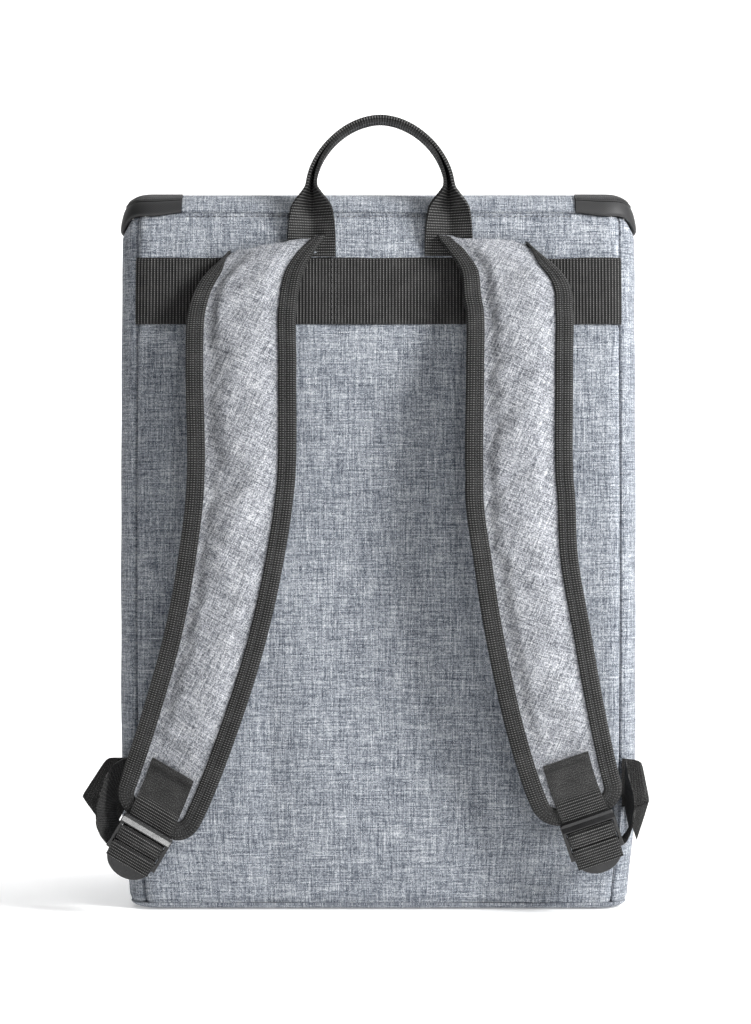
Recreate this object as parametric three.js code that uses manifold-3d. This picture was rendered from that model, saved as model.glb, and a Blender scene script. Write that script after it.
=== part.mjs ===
// A soft cooler backpack with padded walls, a zipped lid and a two-strap harness.
// Millimetres, +Z up, origin at the middle of the base where it rests.
// The harness side faces -Y, and left and right are as seen from there.
import * as THREE from 'three';
import { mergeVertices } from 'three/addons/utils/BufferGeometryUtils.js';
import Module from 'manifold-3d';

// Soft body
const bodyWidth = 310;
const bodyDepth = 180;
const bodyHeight = 430;
const wallThickness = 7;
const cornerRadius = 20;
const panelSeamTurn = 30;
const sideBulge = 1.2;
const baseTaper = 4;
const taperHeight = 60;
const baseSeamHeight = 4;
const basePlugHeight = 4;
const baseRounding = 9;
const creaseOffset = 64;
const creaseWidth = 12;
const creaseDepth = 1.6;
const creaseTop = 165;

// Lid, hinge strip and zip
const lidThickness = 10;
const lidCrown = 3;
const hingeWidth = 236;
const hingeSkin = 2.4;
const rollInset = 13;
const rollDropHinge = 11;
const rollDropCorner = 13;
const rollDropSide = 22;
const tapeThickness = 2;
const tapeProud = 1.5;
const coilWidth = 5;
const coilProud = 0.9;
const sliderWidth = 9;
const sliderLength = 12;
const sliderHeight = 4;
const sliderRadius = 2;
const pullLength = 26;
const pullWidth = 7;
const pullThickness = 1.6;
const pullRadius = 3;

// Webbing band across the harness panel
const bandHeight = 40;
const bandDrop = 27;
const bandThickness = 1.6;
const bandSeat = 1.4;
const puffHeight = 0.8;
const puffReach = 6;

// Carry handle
const handleSpan = 82;
const handleRise = 45;
const handleShift = 1;
const handleRoundness = 1.85;
const handleTabWidth = 28.5;
const handleTabThickness = 1.8;
const handleFoldThickness = 5;
const handleFoldDepth = 14;

// Shoulder straps
const strapWidth = 64;
const strapStand = 35;
const padThickness = 9;
const rimThickness = 4.5;
const strapTopThickness = 3;
const bindingWidth = 10.5;
const bindingThickness = 1.2;
const strapEndRadius = 15;
const puffRamp = 9;
const padThinning = 40;

// Webbing, patches and ladder locks at the strap ends
const webbingWidth = 28;
const webbingThickness = 1.5;
const patchLength = 36;
const lockWidth = 33;
const lockRail = 2.2;
const lockThickness = 2.4;
const lockTopBar = 5.5;
const lockSlot = 4;
const lockBar = 4;
const lockWideSlot = 6;
const lockThumb = 12;
const lockCorner = 2;
const lockStart = 2.5;
const anchorHeight = 77;

// Clearance kept between pieces that touch
const gap = 0.3;
const rimGap = 0.4;

const wasm = await Module();
wasm.setup();

const colours = {
  fabric: 0x8793a3,
  strapFabric: 0x8f98a6,
  webbing: 0x26272a,
  binding: 0x2c2d30,
  tape: 0x232427,
  plastic: 0x17181a,
};

const fabric = { color: colours.fabric, roughness: 0.92, metalness: 0 };
const strapFabric = { color: colours.strapFabric, roughness: 0.92, metalness: 0 };
const webbing = { color: colours.webbing, roughness: 0.8, metalness: 0 };
const binding = { color: colours.binding, roughness: 0.85, metalness: 0 };
const tape = { color: colours.tape, roughness: 0.7, metalness: 0 };
const plastic = { color: colours.plastic, roughness: 0.25, metalness: 0 };

const part = new THREE.Group();

function addPiece(name, geometry, look) {
  const mesh = new THREE.Mesh(geometry, new THREE.MeshStandardMaterial(look));
  mesh.name = name;
  part.add(mesh);
}

// Small number helpers
const radians = THREE.MathUtils.degToRad;
const mix = THREE.MathUtils.lerp;
const ease = (value, from, to) => THREE.MathUtils.smoothstep(value, from, to);

function spaced(from, to, steps) {
  return Array.from({ length: steps + 1 }, (_, i) => mix(from, to, i / steps));
}

// Value of a table column at a level, straight between its rows
function along(rows, level, column) {
  const last = rows.length - 1;
  if (level <= rows[0].level) return rows[0][column];
  if (level >= rows[last].level) return rows[last][column];
  const next = rows.findIndex((row) => row.level >= level);
  const a = rows[next - 1];
  const b = rows[next];
  return mix(a[column], b[column], (level - a.level) / (b.level - a.level));
}

// Closed bodies from grids and rings of points

function solidFrom(points, faces) {
  const geometry = new THREE.BufferGeometry();
  geometry.setAttribute('position', new THREE.Float32BufferAttribute(points.flatMap((p) => p.toArray()), 3));
  const volume = faces.reduce((sum, [a, b, c]) => {
    const side = new THREE.Vector3().crossVectors(points[b], points[c]);
    return sum + points[a].dot(side);
  }, 0);
  const outward = volume >= 0 ? faces : faces.map(([a, b, c]) => [a, c, b]);
  geometry.setIndex(outward.flat());
  geometry.computeVertexNormals();
  return geometry;
}

// A sheet with thickness: pointAt(column, row, side) gives its front (1) and its back (0)
function thickSheet(columns, rows, pointAt) {
  const points = [];
  const faces = [];
  const wide = columns.length;
  const tall = rows.length;
  const index = (i, j, side) => (side * tall + j) * wide + i;
  for (const side of [0, 1]) {
    for (const row of rows) {
      for (const column of columns) points.push(pointAt(column, row, side));
    }
  }
  const quad = (a, b, c, d) => faces.push([a, b, c], [a, c, d]);
  for (let j = 0; j < tall - 1; j += 1) {
    for (let i = 0; i < wide - 1; i += 1) {
      quad(index(i, j, 1), index(i + 1, j, 1), index(i + 1, j + 1, 1), index(i, j + 1, 1));
      quad(index(i, j, 0), index(i, j + 1, 0), index(i + 1, j + 1, 0), index(i + 1, j, 0));
    }
  }
  for (let j = 0; j < tall - 1; j += 1) {
    quad(index(0, j, 1), index(0, j + 1, 1), index(0, j + 1, 0), index(0, j, 0));
    quad(index(wide - 1, j, 1), index(wide - 1, j, 0), index(wide - 1, j + 1, 0), index(wide - 1, j + 1, 1));
  }
  for (let i = 0; i < wide - 1; i += 1) {
    quad(index(i, 0, 1), index(i, 0, 0), index(i + 1, 0, 0), index(i + 1, 0, 1));
    quad(index(i, tall - 1, 1), index(i + 1, tall - 1, 1), index(i + 1, tall - 1, 0), index(i, tall - 1, 0));
  }
  return solidFrom(points, faces);
}

// A closed body through rings of equal count, with a flat fan at each end
function ringLoft(rings) {
  const count = rings[0].length;
  const points = rings.flat();
  const faces = [];
  for (let j = 0; j < rings.length - 1; j += 1) {
    for (let i = 0; i < count; i += 1) {
      const a = j * count + i;
      const b = j * count + ((i + 1) % count);
      faces.push([a, b, b + count], [a, b + count, a + count]);
    }
  }
  const fan = (ring, first, flip) => {
    const middle = ring.reduce((sum, p) => sum.add(p), new THREE.Vector3()).divideScalar(count);
    points.push(middle);
    for (let i = 0; i < count; i += 1) {
      const a = first + i;
      const b = first + ((i + 1) % count);
      faces.push(flip ? [b, a, points.length - 1] : [a, b, points.length - 1]);
    }
  };
  fan(rings[0], 0, true);
  fan(rings[rings.length - 1], (rings.length - 1) * count, false);
  return solidFrom(points, faces);
}

const sharpestMiter = 0.6;

// A flat ribbon of webbing through sections that give its middle, across direction and width
function ribbon(sections, thickness) {
  const rings = sections.map((section, i) => {
    const before = sections[Math.max(i - 1, 0)];
    const after = sections[Math.min(i + 1, sections.length - 1)];
    const legs = [[before, section], [section, after]].filter(([a, b]) => a !== b);
    const normals = legs.map(([a, b]) => {
      const travel = new THREE.Vector3().subVectors(b.middle, a.middle);
      return travel.cross(section.across).normalize();
    });
    const normal = normals.reduce((sum, n) => sum.add(n), new THREE.Vector3()).normalize();
    const miter = Math.max(normal.dot(normals[0]), sharpestMiter);
    const side = section.across.clone().multiplyScalar(section.width / 2);
    const lift = normal.multiplyScalar(thickness / 2 / miter);
    return [[-1, -1], [1, -1], [1, 1], [-1, 1]].map(([s, t]) => section.middle.clone()
      .addScaledVector(side, s).addScaledVector(lift, t));
  });
  return ringLoft(rings);
}

// Cuts each corner of a path of [along, high] points by a set length
function softened(path, cut) {
  return path.flatMap((point, i) => {
    if (i === 0 || i === path.length - 1) return [point];
    return [path[i - 1], path[i + 1]].map((end) => {
      const length = Math.hypot(end[0] - point[0], end[1] - point[1]);
      const share = Math.min(cut / length, 0.45);
      return [mix(point[0], end[0], share), mix(point[1], end[1], share)];
    });
  });
}

// Solids are joined through the boolean library

function toManifold(geometry) {
  const bare = geometry.clone();
  bare.deleteAttribute('normal');
  bare.deleteAttribute('uv');
  const merged = mergeVertices(bare, 1e-4);
  return new wasm.Manifold(new wasm.Mesh({
    numProp: 3,
    vertProperties: new Float32Array(merged.attributes.position.array),
    triVerts: new Uint32Array(merged.index.array),
  }));
}

function fromManifold(solid) {
  const mesh = solid.getMesh();
  const geometry = new THREE.BufferGeometry();
  geometry.setAttribute('position', new THREE.BufferAttribute(mesh.vertProperties, 3));
  geometry.setIndex(new THREE.BufferAttribute(mesh.triVerts, 1));
  geometry.computeVertexNormals();
  return geometry;
}

// Plan of the body: a place is a share of the straight sides plus the way it faces.
// The turn is 0 on the harness side, 90 on the right, 180 on the front and 270 on the left.

function facing(turn) {
  return { outX: Math.sin(radians(turn)), outY: -Math.cos(radians(turn)) };
}

function sidePlaces(turn, shares) {
  const { outX, outY } = facing(turn);
  return shares.map((share) => ({
    turn, outX, outY, shareX: outX - outY * share, shareY: outY + outX * share,
  }));
}

function cornerPlaces(from, to, steps) {
  const corner = Math.floor((from + to) / 180);
  const shareX = corner === 0 || corner === 1 ? 1 : -1;
  const shareY = corner === 1 || corner === 2 ? 1 : -1;
  return spaced(from, to, steps).map((turn) => ({ turn, ...facing(turn), shareX, shareY }));
}

const straightHalfWidth = bodyWidth / 2 - cornerRadius;
const straightHalfDepth = bodyDepth / 2 - cornerRadius;

// How far the soft walls stand out of the plan at a height
function swell(z) {
  const belly = sideBulge * Math.sin((Math.PI * z) / bodyHeight);
  return belly - baseTaper * (1 - ease(z, 0, taperHeight));
}

function bodyPoint(place, z, inset) {
  const reach = cornerRadius - inset;
  return new THREE.Vector3(
    place.shareX * (straightHalfWidth + swell(z)) + place.outX * reach,
    place.shareY * (straightHalfDepth + swell(z)) + place.outY * reach,
    z,
  );
}

// Soft relief of the harness panel: pulled in under the band, puffed above it
const hingeSeam = bodyHeight - rollDropHinge;
const bandTop = hingeSeam - bandDrop;
const bandBottom = bandTop - bandHeight;
const reliefRows = [
  { level: bandBottom - puffReach * 2, lift: 0 },
  { level: bandBottom, lift: -bandSeat },
  { level: bandTop, lift: -bandSeat },
  { level: bandTop + puffReach, lift: puffHeight },
  { level: hingeSeam, lift: 0 },
];

const creaseFade = creaseTop * 0.7;

function panelLift(x, z) {
  const crease = Math.max(0, 1 - Math.abs(Math.abs(x) - creaseOffset) / creaseWidth);
  const fade = 1 - ease(z, creaseFade, creaseTop);
  return along(reliefRows, z, 'lift') - creaseDepth * crease * fade;
}

// Y of the harness panel's face at a height, away from its creases
function panelFace(z) {
  return bodyPoint(sidePlaces(0, [0])[0], z, -along(reliefRows, z, 'lift')).y;
}

// Height of the seam between the walls and the rolled top edge
function rollDrop(place) {
  const backness = Math.min(place.turn, 360 - place.turn);
  if (backness > 0) {
    return mix(rollDropCorner, rollDropSide, ease(backness, 30, 85));
  }
  const x = Math.abs(place.shareX) * straightHalfWidth;
  return mix(rollDropHinge, rollDropCorner, ease(x, hingeWidth / 2, straightHalfWidth));
}

function wallTop(place) {
  return bodyHeight - rollDrop(place);
}

// The rolled top edge: share 0 at the wall, 1 where it meets the flat of the lid
function rollPoint(place, share, lift) {
  const turn = (share * Math.PI) / 2;
  const z = wallTop(place) + rollDrop(place) * Math.sin(turn);
  const inset = rollInset * (1 - Math.cos(turn));
  const point = bodyPoint(place, z, inset - lift * Math.cos(turn));
  point.z += lift * Math.sin(turn);
  return point;
}

// Padded walls

const seamGapTurn = THREE.MathUtils.radToDeg(gap / 2 / cornerRadius);
const lowRows = [0, 0.25, 0.5, 0.75, 1].map((share) => mix(baseSeamHeight + gap, taperHeight, share));

function wall(places, rows, lift) {
  return thickSheet(places, [...rows, 'top'], (place, row, side) => {
    const z = row === 'top' ? wallTop(place) - gap : row;
    const outer = bodyPoint(place, z, 0);
    return bodyPoint(place, z, side ? -lift(outer.x, z) : wallThickness);
  });
}

const creaseShares = [creaseOffset - creaseWidth, creaseOffset, creaseOffset + creaseWidth]
  .map((x) => x / straightHalfWidth);
const panelShares = [0, 0.2, ...creaseShares, 0.76, hingeWidth / 2 / straightHalfWidth, 1];
const mirrored = [...panelShares.slice(1).reverse().map((share) => -share), ...panelShares];
const panelPlaces = [
  ...cornerPlaces(360 - panelSeamTurn + seamGapTurn, 359, 3),
  ...sidePlaces(0, mirrored),
  ...cornerPlaces(1, panelSeamTurn - seamGapTurn, 3),
];
const panelRows = [
  ...lowRows, creaseFade, creaseTop, ...spaced(creaseTop, reliefRows[0].level, 3).slice(1),
  ...reliefRows.slice(1, -1).map((row) => row.level),
];
addPiece('back_panel', wall(panelPlaces, panelRows, panelLift), fabric);

const flat = () => 0;
const sideRows = [...lowRows, ...spaced(taperHeight, bodyHeight - rollDropSide * 1.5, 4).slice(1)];

function sidePanel(facingTurn) {
  const start = facingTurn === 90 ? panelSeamTurn : 180 + panelSeamTurn;
  const end = facingTurn === 90 ? 180 - panelSeamTurn : 360 - panelSeamTurn;
  const places = [
    ...cornerPlaces(start + seamGapTurn, facingTurn - 1, 4),
    ...sidePlaces(facingTurn, spaced(-1, 1, 4)),
    ...cornerPlaces(facingTurn + 1, end - seamGapTurn, 4),
  ];
  return wall(places, sideRows, flat);
}

addPiece('side_panel_right', sidePanel(90), fabric);
addPiece('side_panel_left', sidePanel(270), fabric);

const frontPlaces = [
  ...cornerPlaces(180 - panelSeamTurn + seamGapTurn, 179, 2),
  ...sidePlaces(180, spaced(-1, 1, 6)),
  ...cornerPlaces(181, 180 + panelSeamTurn - seamGapTurn, 2),
];
addPiece('front_panel', wall(frontPlaces, sideRows, flat), fabric);

// Base: a flange with a soft lower edge, and a padded floor inside the walls

function outline(z, inset) {
  const places = [0, 90, 180, 270].flatMap((turn) => [
    ...sidePlaces(turn, [-1, 0, 1]),
    ...cornerPlaces(turn + 15, turn + 75, 4),
  ]);
  return places.map((place) => bodyPoint(place, z, inset));
}

const floorInset = wallThickness + gap;
addPiece('base_panel', ringLoft([
  outline(0, baseRounding),
  outline(baseSeamHeight * 0.3, baseRounding * 0.5),
  outline(baseSeamHeight * 0.65, baseRounding * 0.2),
  outline(baseSeamHeight, 0),
  outline(baseSeamHeight, floorInset),
  outline(baseSeamHeight + basePlugHeight, floorInset + 1),
]), fabric);

// Lid: padded slab joined to the strip that rolls down to the harness panel as its hinge

const crownRings = [
  { share: 1, rise: 0 },
  { share: 0.85, rise: 0.6 },
  { share: 0.5, rise: 1 },
];
const slabEdge = outline(bodyHeight, rollInset + gap);
const slabRings = crownRings.map((ring) => slabEdge.map((point) => new THREE.Vector3(
  point.x * ring.share,
  point.y * ring.share,
  bodyHeight + lidCrown * ring.rise,
)));
const slab = ringLoft([outline(bodyHeight - lidThickness, rollInset + gap), ...slabRings]);
const hingeReach = hingeWidth / 2 / straightHalfWidth;
const hingeShares = spaced(-hingeReach, hingeReach, 10);
const hingeRows = [...spaced(0, 1, 5), 'tuck'];
const strip = thickSheet(sidePlaces(0, hingeShares), hingeRows, (place, row, side) => {
  const lift = side ? 0 : -hingeSkin;
  if (row !== 'tuck') return rollPoint(place, row, lift);
  const point = rollPoint(place, 1, lift);
  point.y += hingeSkin;
  return point;
});
const lid = toManifold(slab).add(toManifold(strip));
addPiece('lid_panel', fromManifold(lid), fabric);

// Zip: two tapes and the coil run round the top edge from one end of the hinge to the other

const zipStart = (hingeWidth / 2 + gap) / straightHalfWidth;
const zipPlaces = [
  ...sidePlaces(0, [zipStart, 1]),
  ...cornerPlaces(15, 75, 4),
  ...sidePlaces(90, [-1, 0, 1]),
  ...cornerPlaces(105, 165, 4),
  ...sidePlaces(180, [-1, -0.5, 0, 0.5, 1]),
  ...cornerPlaces(195, 255, 4),
  ...sidePlaces(270, [-1, 0, 1]),
  ...cornerPlaces(285, 345, 4),
  ...sidePlaces(0, [-1, -zipStart]),
];
const coilShare = 0.55;
const coilHalfShare = coilWidth / 2 / (Math.PI / 2 * rollInset);
const coilGapShare = gap / rollInset;

function zipStrip(shares, liftAt) {
  return thickSheet(zipPlaces, shares, (place, share, side) => {
    return rollPoint(place, share, liftAt(share, side));
  });
}

const tapeLift = (share, side) => (side ? tapeProud : tapeProud - tapeThickness);
const coilLift = (share, side) => {
  if (!side) return tapeProud - tapeThickness;
  return tapeProud + (share === coilShare ? coilProud : 0);
};
const coilLow = coilShare - coilHalfShare;
const coilHigh = coilShare + coilHalfShare;
addPiece('zip_tape_lower', zipStrip(spaced(0, coilLow - coilGapShare, 3), tapeLift), tape);
addPiece('zip_tape_upper', zipStrip(spaced(coilHigh + coilGapShare, 1, 2), tapeLift), tape);
addPiece('zip_coil', zipStrip([coilLow, coilShare, coilHigh], coilLift), tape);

// Zip slider with its pull, at the middle of the front

function roundedPlate(width, length, radius, thickness) {
  const shape = new THREE.Shape();
  const x = width / 2 - radius;
  const y = length / 2 - radius;
  const corners = [[x, y], [-x, y], [-x, -y], [x, -y]];
  corners.forEach(([middleX, middleY], quarter) => {
    const from = (quarter * Math.PI) / 2;
    shape.absarc(middleX, middleY, radius, from, from + Math.PI / 2);
  });
  return new THREE.ExtrudeGeometry(shape, { depth: thickness, bevelEnabled: false, curveSegments: 3 });
}

const frontMiddle = sidePlaces(180, [0])[0];
const sliderSeat = rollPoint(frontMiddle, coilShare, tapeProud + coilProud + gap);
const sliderUp = rollPoint(frontMiddle, coilHigh, 0).sub(rollPoint(frontMiddle, coilLow, 0)).normalize();
const sliderAlong = new THREE.Vector3(-1, 0, 0);
const sliderOut = new THREE.Vector3().crossVectors(sliderAlong, sliderUp);
const sliderBody = roundedPlate(sliderLength, sliderWidth, sliderRadius, sliderHeight);
const sliderPull = roundedPlate(pullWidth, pullLength, pullRadius, pullThickness);
sliderPull.translate(0, pullWidth / 2 - pullLength / 2, sliderHeight - pullThickness / 2);
const sliderGeometry = fromManifold(toManifold(sliderBody).add(toManifold(sliderPull)));
sliderGeometry.applyMatrix4(new THREE.Matrix4()
  .makeBasis(sliderAlong, sliderUp, sliderOut).setPosition(sliderSeat));
addPiece('zip_slider', sliderGeometry, plastic);

// Webbing band sewn across the harness panel

addPiece('back_webbing_band', thickSheet(panelPlaces, [bandBottom, bandTop], (place, z, side) => {
  const lift = along(reliefRows, z, 'lift');
  return bodyPoint(place, z, -(lift + gap + (side ? bandThickness : 0)));
}), webbing);

// Carry handle: flat tabs that fold into a narrow loop

const handleFoot = bandTop + gap;
const pinchHeight = bodyHeight + 3;
const legRows = [
  { level: handleFoot, wide: 1, fold: 0 },
  { level: bandTop + puffReach, wide: 1, fold: 0 },
  { level: mix(bandTop, pinchHeight, 0.54), wide: 0.92, fold: 0.08 },
  { level: mix(bandTop, pinchHeight, 0.71), wide: 0.83, fold: 0.2 },
  { level: mix(bandTop, pinchHeight, 0.87), wide: 0.52, fold: 0.5 },
  { level: pinchHeight, wide: 0.25, fold: 0.85 },
];
const handleSquareness = 0.7;
const handleLean = 0.5;
const handleFlare = 1.3;

// A ring of the handle: middle x and z, the direction across it, its width and its depth
function handleRing(x, z, wideX, wideZ, across, deep) {
  const corners = 10;
  const face = Math.min(panelFace(Math.min(z, hingeSeam)), -bodyDepth / 2);
  const forward = gap + handleTabThickness / 2 + Math.max(0, deep - handleTabThickness) * handleLean;
  const round = (value) => Math.sign(value) * Math.abs(value) ** handleSquareness;
  return Array.from({ length: corners }, (_, i) => {
    const angle = (2 * Math.PI * (i + 0.5)) / corners;
    const a = round(Math.cos(angle)) * across / 2;
    const b = round(Math.sin(angle)) * deep / 2;
    return new THREE.Vector3(x + a * wideX, face - forward - b, z + a * wideZ);
  });
}

function handleLeg(side) {
  return legRows.map((row) => {
    const across = Math.max(handleTabWidth * row.wide, handleFoldThickness);
    const deep = mix(handleTabThickness, handleFoldDepth, row.fold);
    return handleRing(handleShift + side * handleSpan / 2, row.level, -side, 0, across, deep);
  });
}

function handleArc() {
  const power = 2 / handleRoundness;
  const rise = handleRise - (pinchHeight - bodyHeight);
  return spaced(0, Math.PI, 20).slice(1, -1).map((angle) => {
    const c = Math.cos(angle);
    const s = Math.sin(angle);
    const x = -Math.sign(c) * Math.abs(c) ** power * handleSpan / 2;
    const z = s ** power * rise;
    const slope = new THREE.Vector2(Math.sin(angle), Math.cos(angle)).normalize();
    const across = mix(handleFoldThickness * handleFlare, handleFoldThickness, s);
    return handleRing(handleShift + x, pinchHeight + z, slope.y, -slope.x, across, handleFoldDepth);
  });
}

const handleRings = [...handleLeg(-1), ...handleArc(), ...handleLeg(1).reverse()];
addPiece('grab_handle', ringLoft(handleRings), webbing);

// Shoulder straps. Each row is a section down the strap: its level as a share of the body
// height, its middle as a share of the half width, its width as a share of the strap width,
// the rise of its outer edge in degrees, and how far it stands off the panel as a share.
const strapRows = {
  left: [
    { level: 0.929, out: 0.392, wide: 0.92, rise: -10, stand: 0.118 },
    { level: 0.888, out: 0.478, wide: 0.95, rise: -6, stand: 0.22 },
    { level: 0.835, out: 0.52, wide: 1.0, rise: -2, stand: 0.47 },
    { level: 0.75, out: 0.522, wide: 1.015, rise: 0, stand: 0.81 },
    { level: 0.6, out: 0.52, wide: 0.99, rise: 1, stand: 0.99 },
    { level: 0.49, out: 0.559, wide: 0.955, rise: 8, stand: 1 },
    { level: 0.38, out: 0.623, wide: 0.92, rise: 13, stand: 0.93 },
    { level: 0.27, out: 0.716, wide: 0.89, rise: 18.5, stand: 0.77 },
    { level: 0.18, out: 0.806, wide: 0.86, rise: 25, stand: 0.6 },
    { level: 0.124, out: 0.873, wide: 0.82, rise: 31, stand: 0.5 },
  ],
  right: [
    { level: 0.935, out: 0.401, wide: 0.85, rise: -4.5, stand: 0.118 },
    { level: 0.888, out: 0.511, wide: 0.96, rise: -3, stand: 0.22 },
    { level: 0.835, out: 0.538, wide: 0.99, rise: 0, stand: 0.47 },
    { level: 0.75, out: 0.535, wide: 0.98, rise: 0, stand: 0.81 },
    { level: 0.6, out: 0.532, wide: 0.985, rise: 0, stand: 0.99 },
    { level: 0.49, out: 0.557, wide: 0.95, rise: 5, stand: 1 },
    { level: 0.38, out: 0.609, wide: 0.955, rise: 10, stand: 0.93 },
    { level: 0.27, out: 0.673, wide: 0.925, rise: 13, stand: 0.77 },
    { level: 0.18, out: 0.742, wide: 0.87, rise: 17, stand: 0.61 },
    { level: 0.137, out: 0.791, wide: 0.82, rise: 19, stand: 0.52 },
  ],
};

// The space of a strap: lengths down it, across it to its outer side, and off its back face
function strapSpace(side) {
  const rows = strapRows[side];
  const hand = side === 'left' ? -1 : 1;
  const spine = new THREE.CatmullRomCurve3(rows.map((row) => new THREE.Vector3(
    hand * row.out * bodyWidth / 2,
    panelFace(row.level * bodyHeight) - row.stand * strapStand,
    row.level * bodyHeight,
  )));
  const traits = new THREE.CatmullRomCurve3(rows.map((row) => new THREE.Vector3(row.wide, row.rise, 0)));
  const length = spine.getLength();
  const frameAt = (down) => {
    const t = spine.getUtoTmapping(THREE.MathUtils.clamp(down / length, 0, 1));
    const trait = traits.getPoint(t);
    const rise = radians(trait.y);
    const outward = new THREE.Vector3(hand * Math.cos(rise), 0, Math.sin(rise));
    const downward = spine.getTangent(t);
    const normal = new THREE.Vector3().crossVectors(outward, downward).normalize();
    if (normal.y > 0) normal.negate();
    return { origin: spine.getPoint(t), outward, downward, normal, width: trait.x * strapWidth };
  };
  const pointAt = (down, across, high) => {
    const frame = frameAt(down);
    return frame.origin.clone().addScaledVector(frame.outward, across).addScaledVector(frame.normal, high);
  };
  return { hand, length, frameAt, pointAt };
}

// Half width of the strap with its rounded end, less an inset
function strapHalf(space, down, inset) {
  const half = space.frameAt(down).width / 2;
  const past = down - (space.length - strapEndRadius);
  if (past <= 0) return half - inset;
  return half - strapEndRadius + Math.sqrt(Math.max((strapEndRadius - inset) ** 2 - past ** 2, 0));
}

// Steps of the turn at a strap's rounded end
const endTurns = [0, 30, 60, 90];

// Levels down the straight run of a strap, down to where its end begins to round
function strapDowns(space) {
  return [...spaced(0, 30, 3), ...spaced(46, space.length - strapEndRadius, 15)];
}

// Front of the pad above its back face: a flat rim for the binding, and a puffed middle
const patchRun = patchLength + 6;
function padFront(space, down, fromEdge) {
  const patchTop = space.length - patchRun;
  const thinning = 1 - ease(down, patchTop - padThinning, patchTop + padThinning * 0.1);
  const puffed = thinning * ease(fromEdge, bindingWidth, bindingWidth + puffRamp);
  const puff = (padThickness - rimThickness) * puffed;
  const root = ease(down, -puffRamp / 2, puffRamp * 1.5);
  return mix(strapTopThickness, rimThickness + puff, root);
}

function pad(space) {
  const inset = rimGap + bindingThickness;
  const rounding = endTurns.slice(1).map((turn) => {
    return space.length - strapEndRadius + Math.sin(radians(turn)) * (strapEndRadius - inset);
  });
  const edges = [0, bindingWidth - rimGap, bindingWidth + puffRamp * 0.5, bindingWidth + puffRamp];
  const columns = [
    ...edges.map((edge) => ({ edge, hand: 1 })),
    ...[...edges].reverse().map((edge) => ({ edge, hand: -1 })),
  ];
  return thickSheet(columns, [...strapDowns(space), ...rounding], (column, down, side) => {
    const half = strapHalf(space, down, inset);
    const inward = Math.min(column.edge, half * 0.9);
    const high = side ? padFront(space, down, inward) : 0;
    return space.pointAt(down, column.hand * (half - inward), high);
  });
}

// The edge of a strap as a path: down the outer side, round the end and up the inner side
function edgePath(space) {
  const end = space.length;
  const side = (hand, downs) => downs.map((down) => {
    return { down, across: hand * space.frameAt(down).width / 2, inDown: 0, inAcross: -hand };
  });
  const turn = (hand, angles) => angles.map((angle) => {
    const inDown = -Math.sin(radians(angle));
    const inAcross = -hand * Math.cos(radians(angle));
    const down = end - strapEndRadius * (1 + inDown);
    return { down, across: hand * strapHalf(space, down, 0), inDown, inAcross };
  });
  const downs = strapDowns(space).slice(0, -1);
  return [
    ...side(1, downs), ...turn(1, endTurns),
    ...turn(-1, [...endTurns].reverse()), ...side(-1, [...downs].reverse()),
  ];
}

// Binding folded round the rim of the pad
function strapBinding(space) {
  const shoulder = 1.6;
  const flank = 0.55;
  const profile = [
    { deep: bindingWidth, face: 1 },
    { deep: shoulder, face: 1 },
    { deep: 0, face: flank },
    { deep: 0, face: -flank },
    { deep: shoulder, face: -1 },
    { deep: bindingWidth, face: -1 },
  ];
  return thickSheet(edgePath(space), profile, (edge, point, side) => {
    const rim = padFront(space, edge.down, 0);
    const middle = rim / 2;
    const skin = side ? bindingThickness : 0;
    const high = middle + point.face * (middle + rimGap + skin);
    const deep = Math.max(point.deep, bindingThickness - skin);
    return space.pointAt(edge.down + edge.inDown * deep, edge.across + edge.inAcross * deep, high);
  });
}

// Heights over the back face of a strap, from its rim up to the lock
const bindingTop = rimThickness + rimGap + bindingThickness;
const lockBack = bindingTop + gap + webbingThickness + gap;

// The frame of a ladder lock: origin at the top of its first bar, on its back face
function lockSpace(space) {
  const frame = space.frameAt(space.length - lockStart);
  const downward = new THREE.Vector3().crossVectors(frame.outward, frame.normal).normalize();
  if (downward.z > 0) downward.negate();
  const origin = frame.origin.clone().addScaledVector(frame.normal, lockBack);
  const pointAt = (down, across, high) => {
    return origin.clone().addScaledVector(downward, down)
      .addScaledVector(frame.outward, across).addScaledVector(frame.normal, high);
  };
  return { ...frame, origin, downward, pointAt };
}

// Centre lines of the webbing round the bars, as [down, high] in the frame of the lock
const behind = -gap - webbingThickness / 2;
const over = lockThickness + gap + webbingThickness / 2;
const middleBar = lockTopBar + lockSlot;
const lowerBar = middleBar + lockBar + lockWideSlot;
const patchFold = middleBar + lockBar + gap * 3 + webbingThickness / 2;
const adjusterFold = lowerBar - gap * 2 - webbingThickness / 2;
const slackStart = 3;
const foldCut = 1;
const barLip = 0.5;

function strapPatch(space, lock) {
  const onPad = [
    [patchLength, rimThickness + gap], [bindingWidth + 5, rimThickness + gap],
    [bindingWidth + 1.5, bindingTop + gap], [lockStart + 3, bindingTop + gap],
  ].map(([fromEnd, high]) => {
    const down = space.length - fromEnd;
    const middle = space.pointAt(down, 0, high + webbingThickness / 2);
    return { middle, across: space.frameAt(down).outward };
  });
  const roundBar = softened([
    [0, behind], [lockTopBar + lockSlot / 2, behind], [lockTopBar + lockSlot / 2, over],
    [patchFold, over], [patchFold, behind], [middleBar + barLip, behind],
  ], foldCut).map(([down, high]) => ({ middle: lock.pointAt(down, 0, high), across: lock.outward }));
  const sections = [...onPad, ...roundBar].map((section) => ({ ...section, width: webbingWidth }));
  return ribbon(sections, webbingThickness);
}

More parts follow.
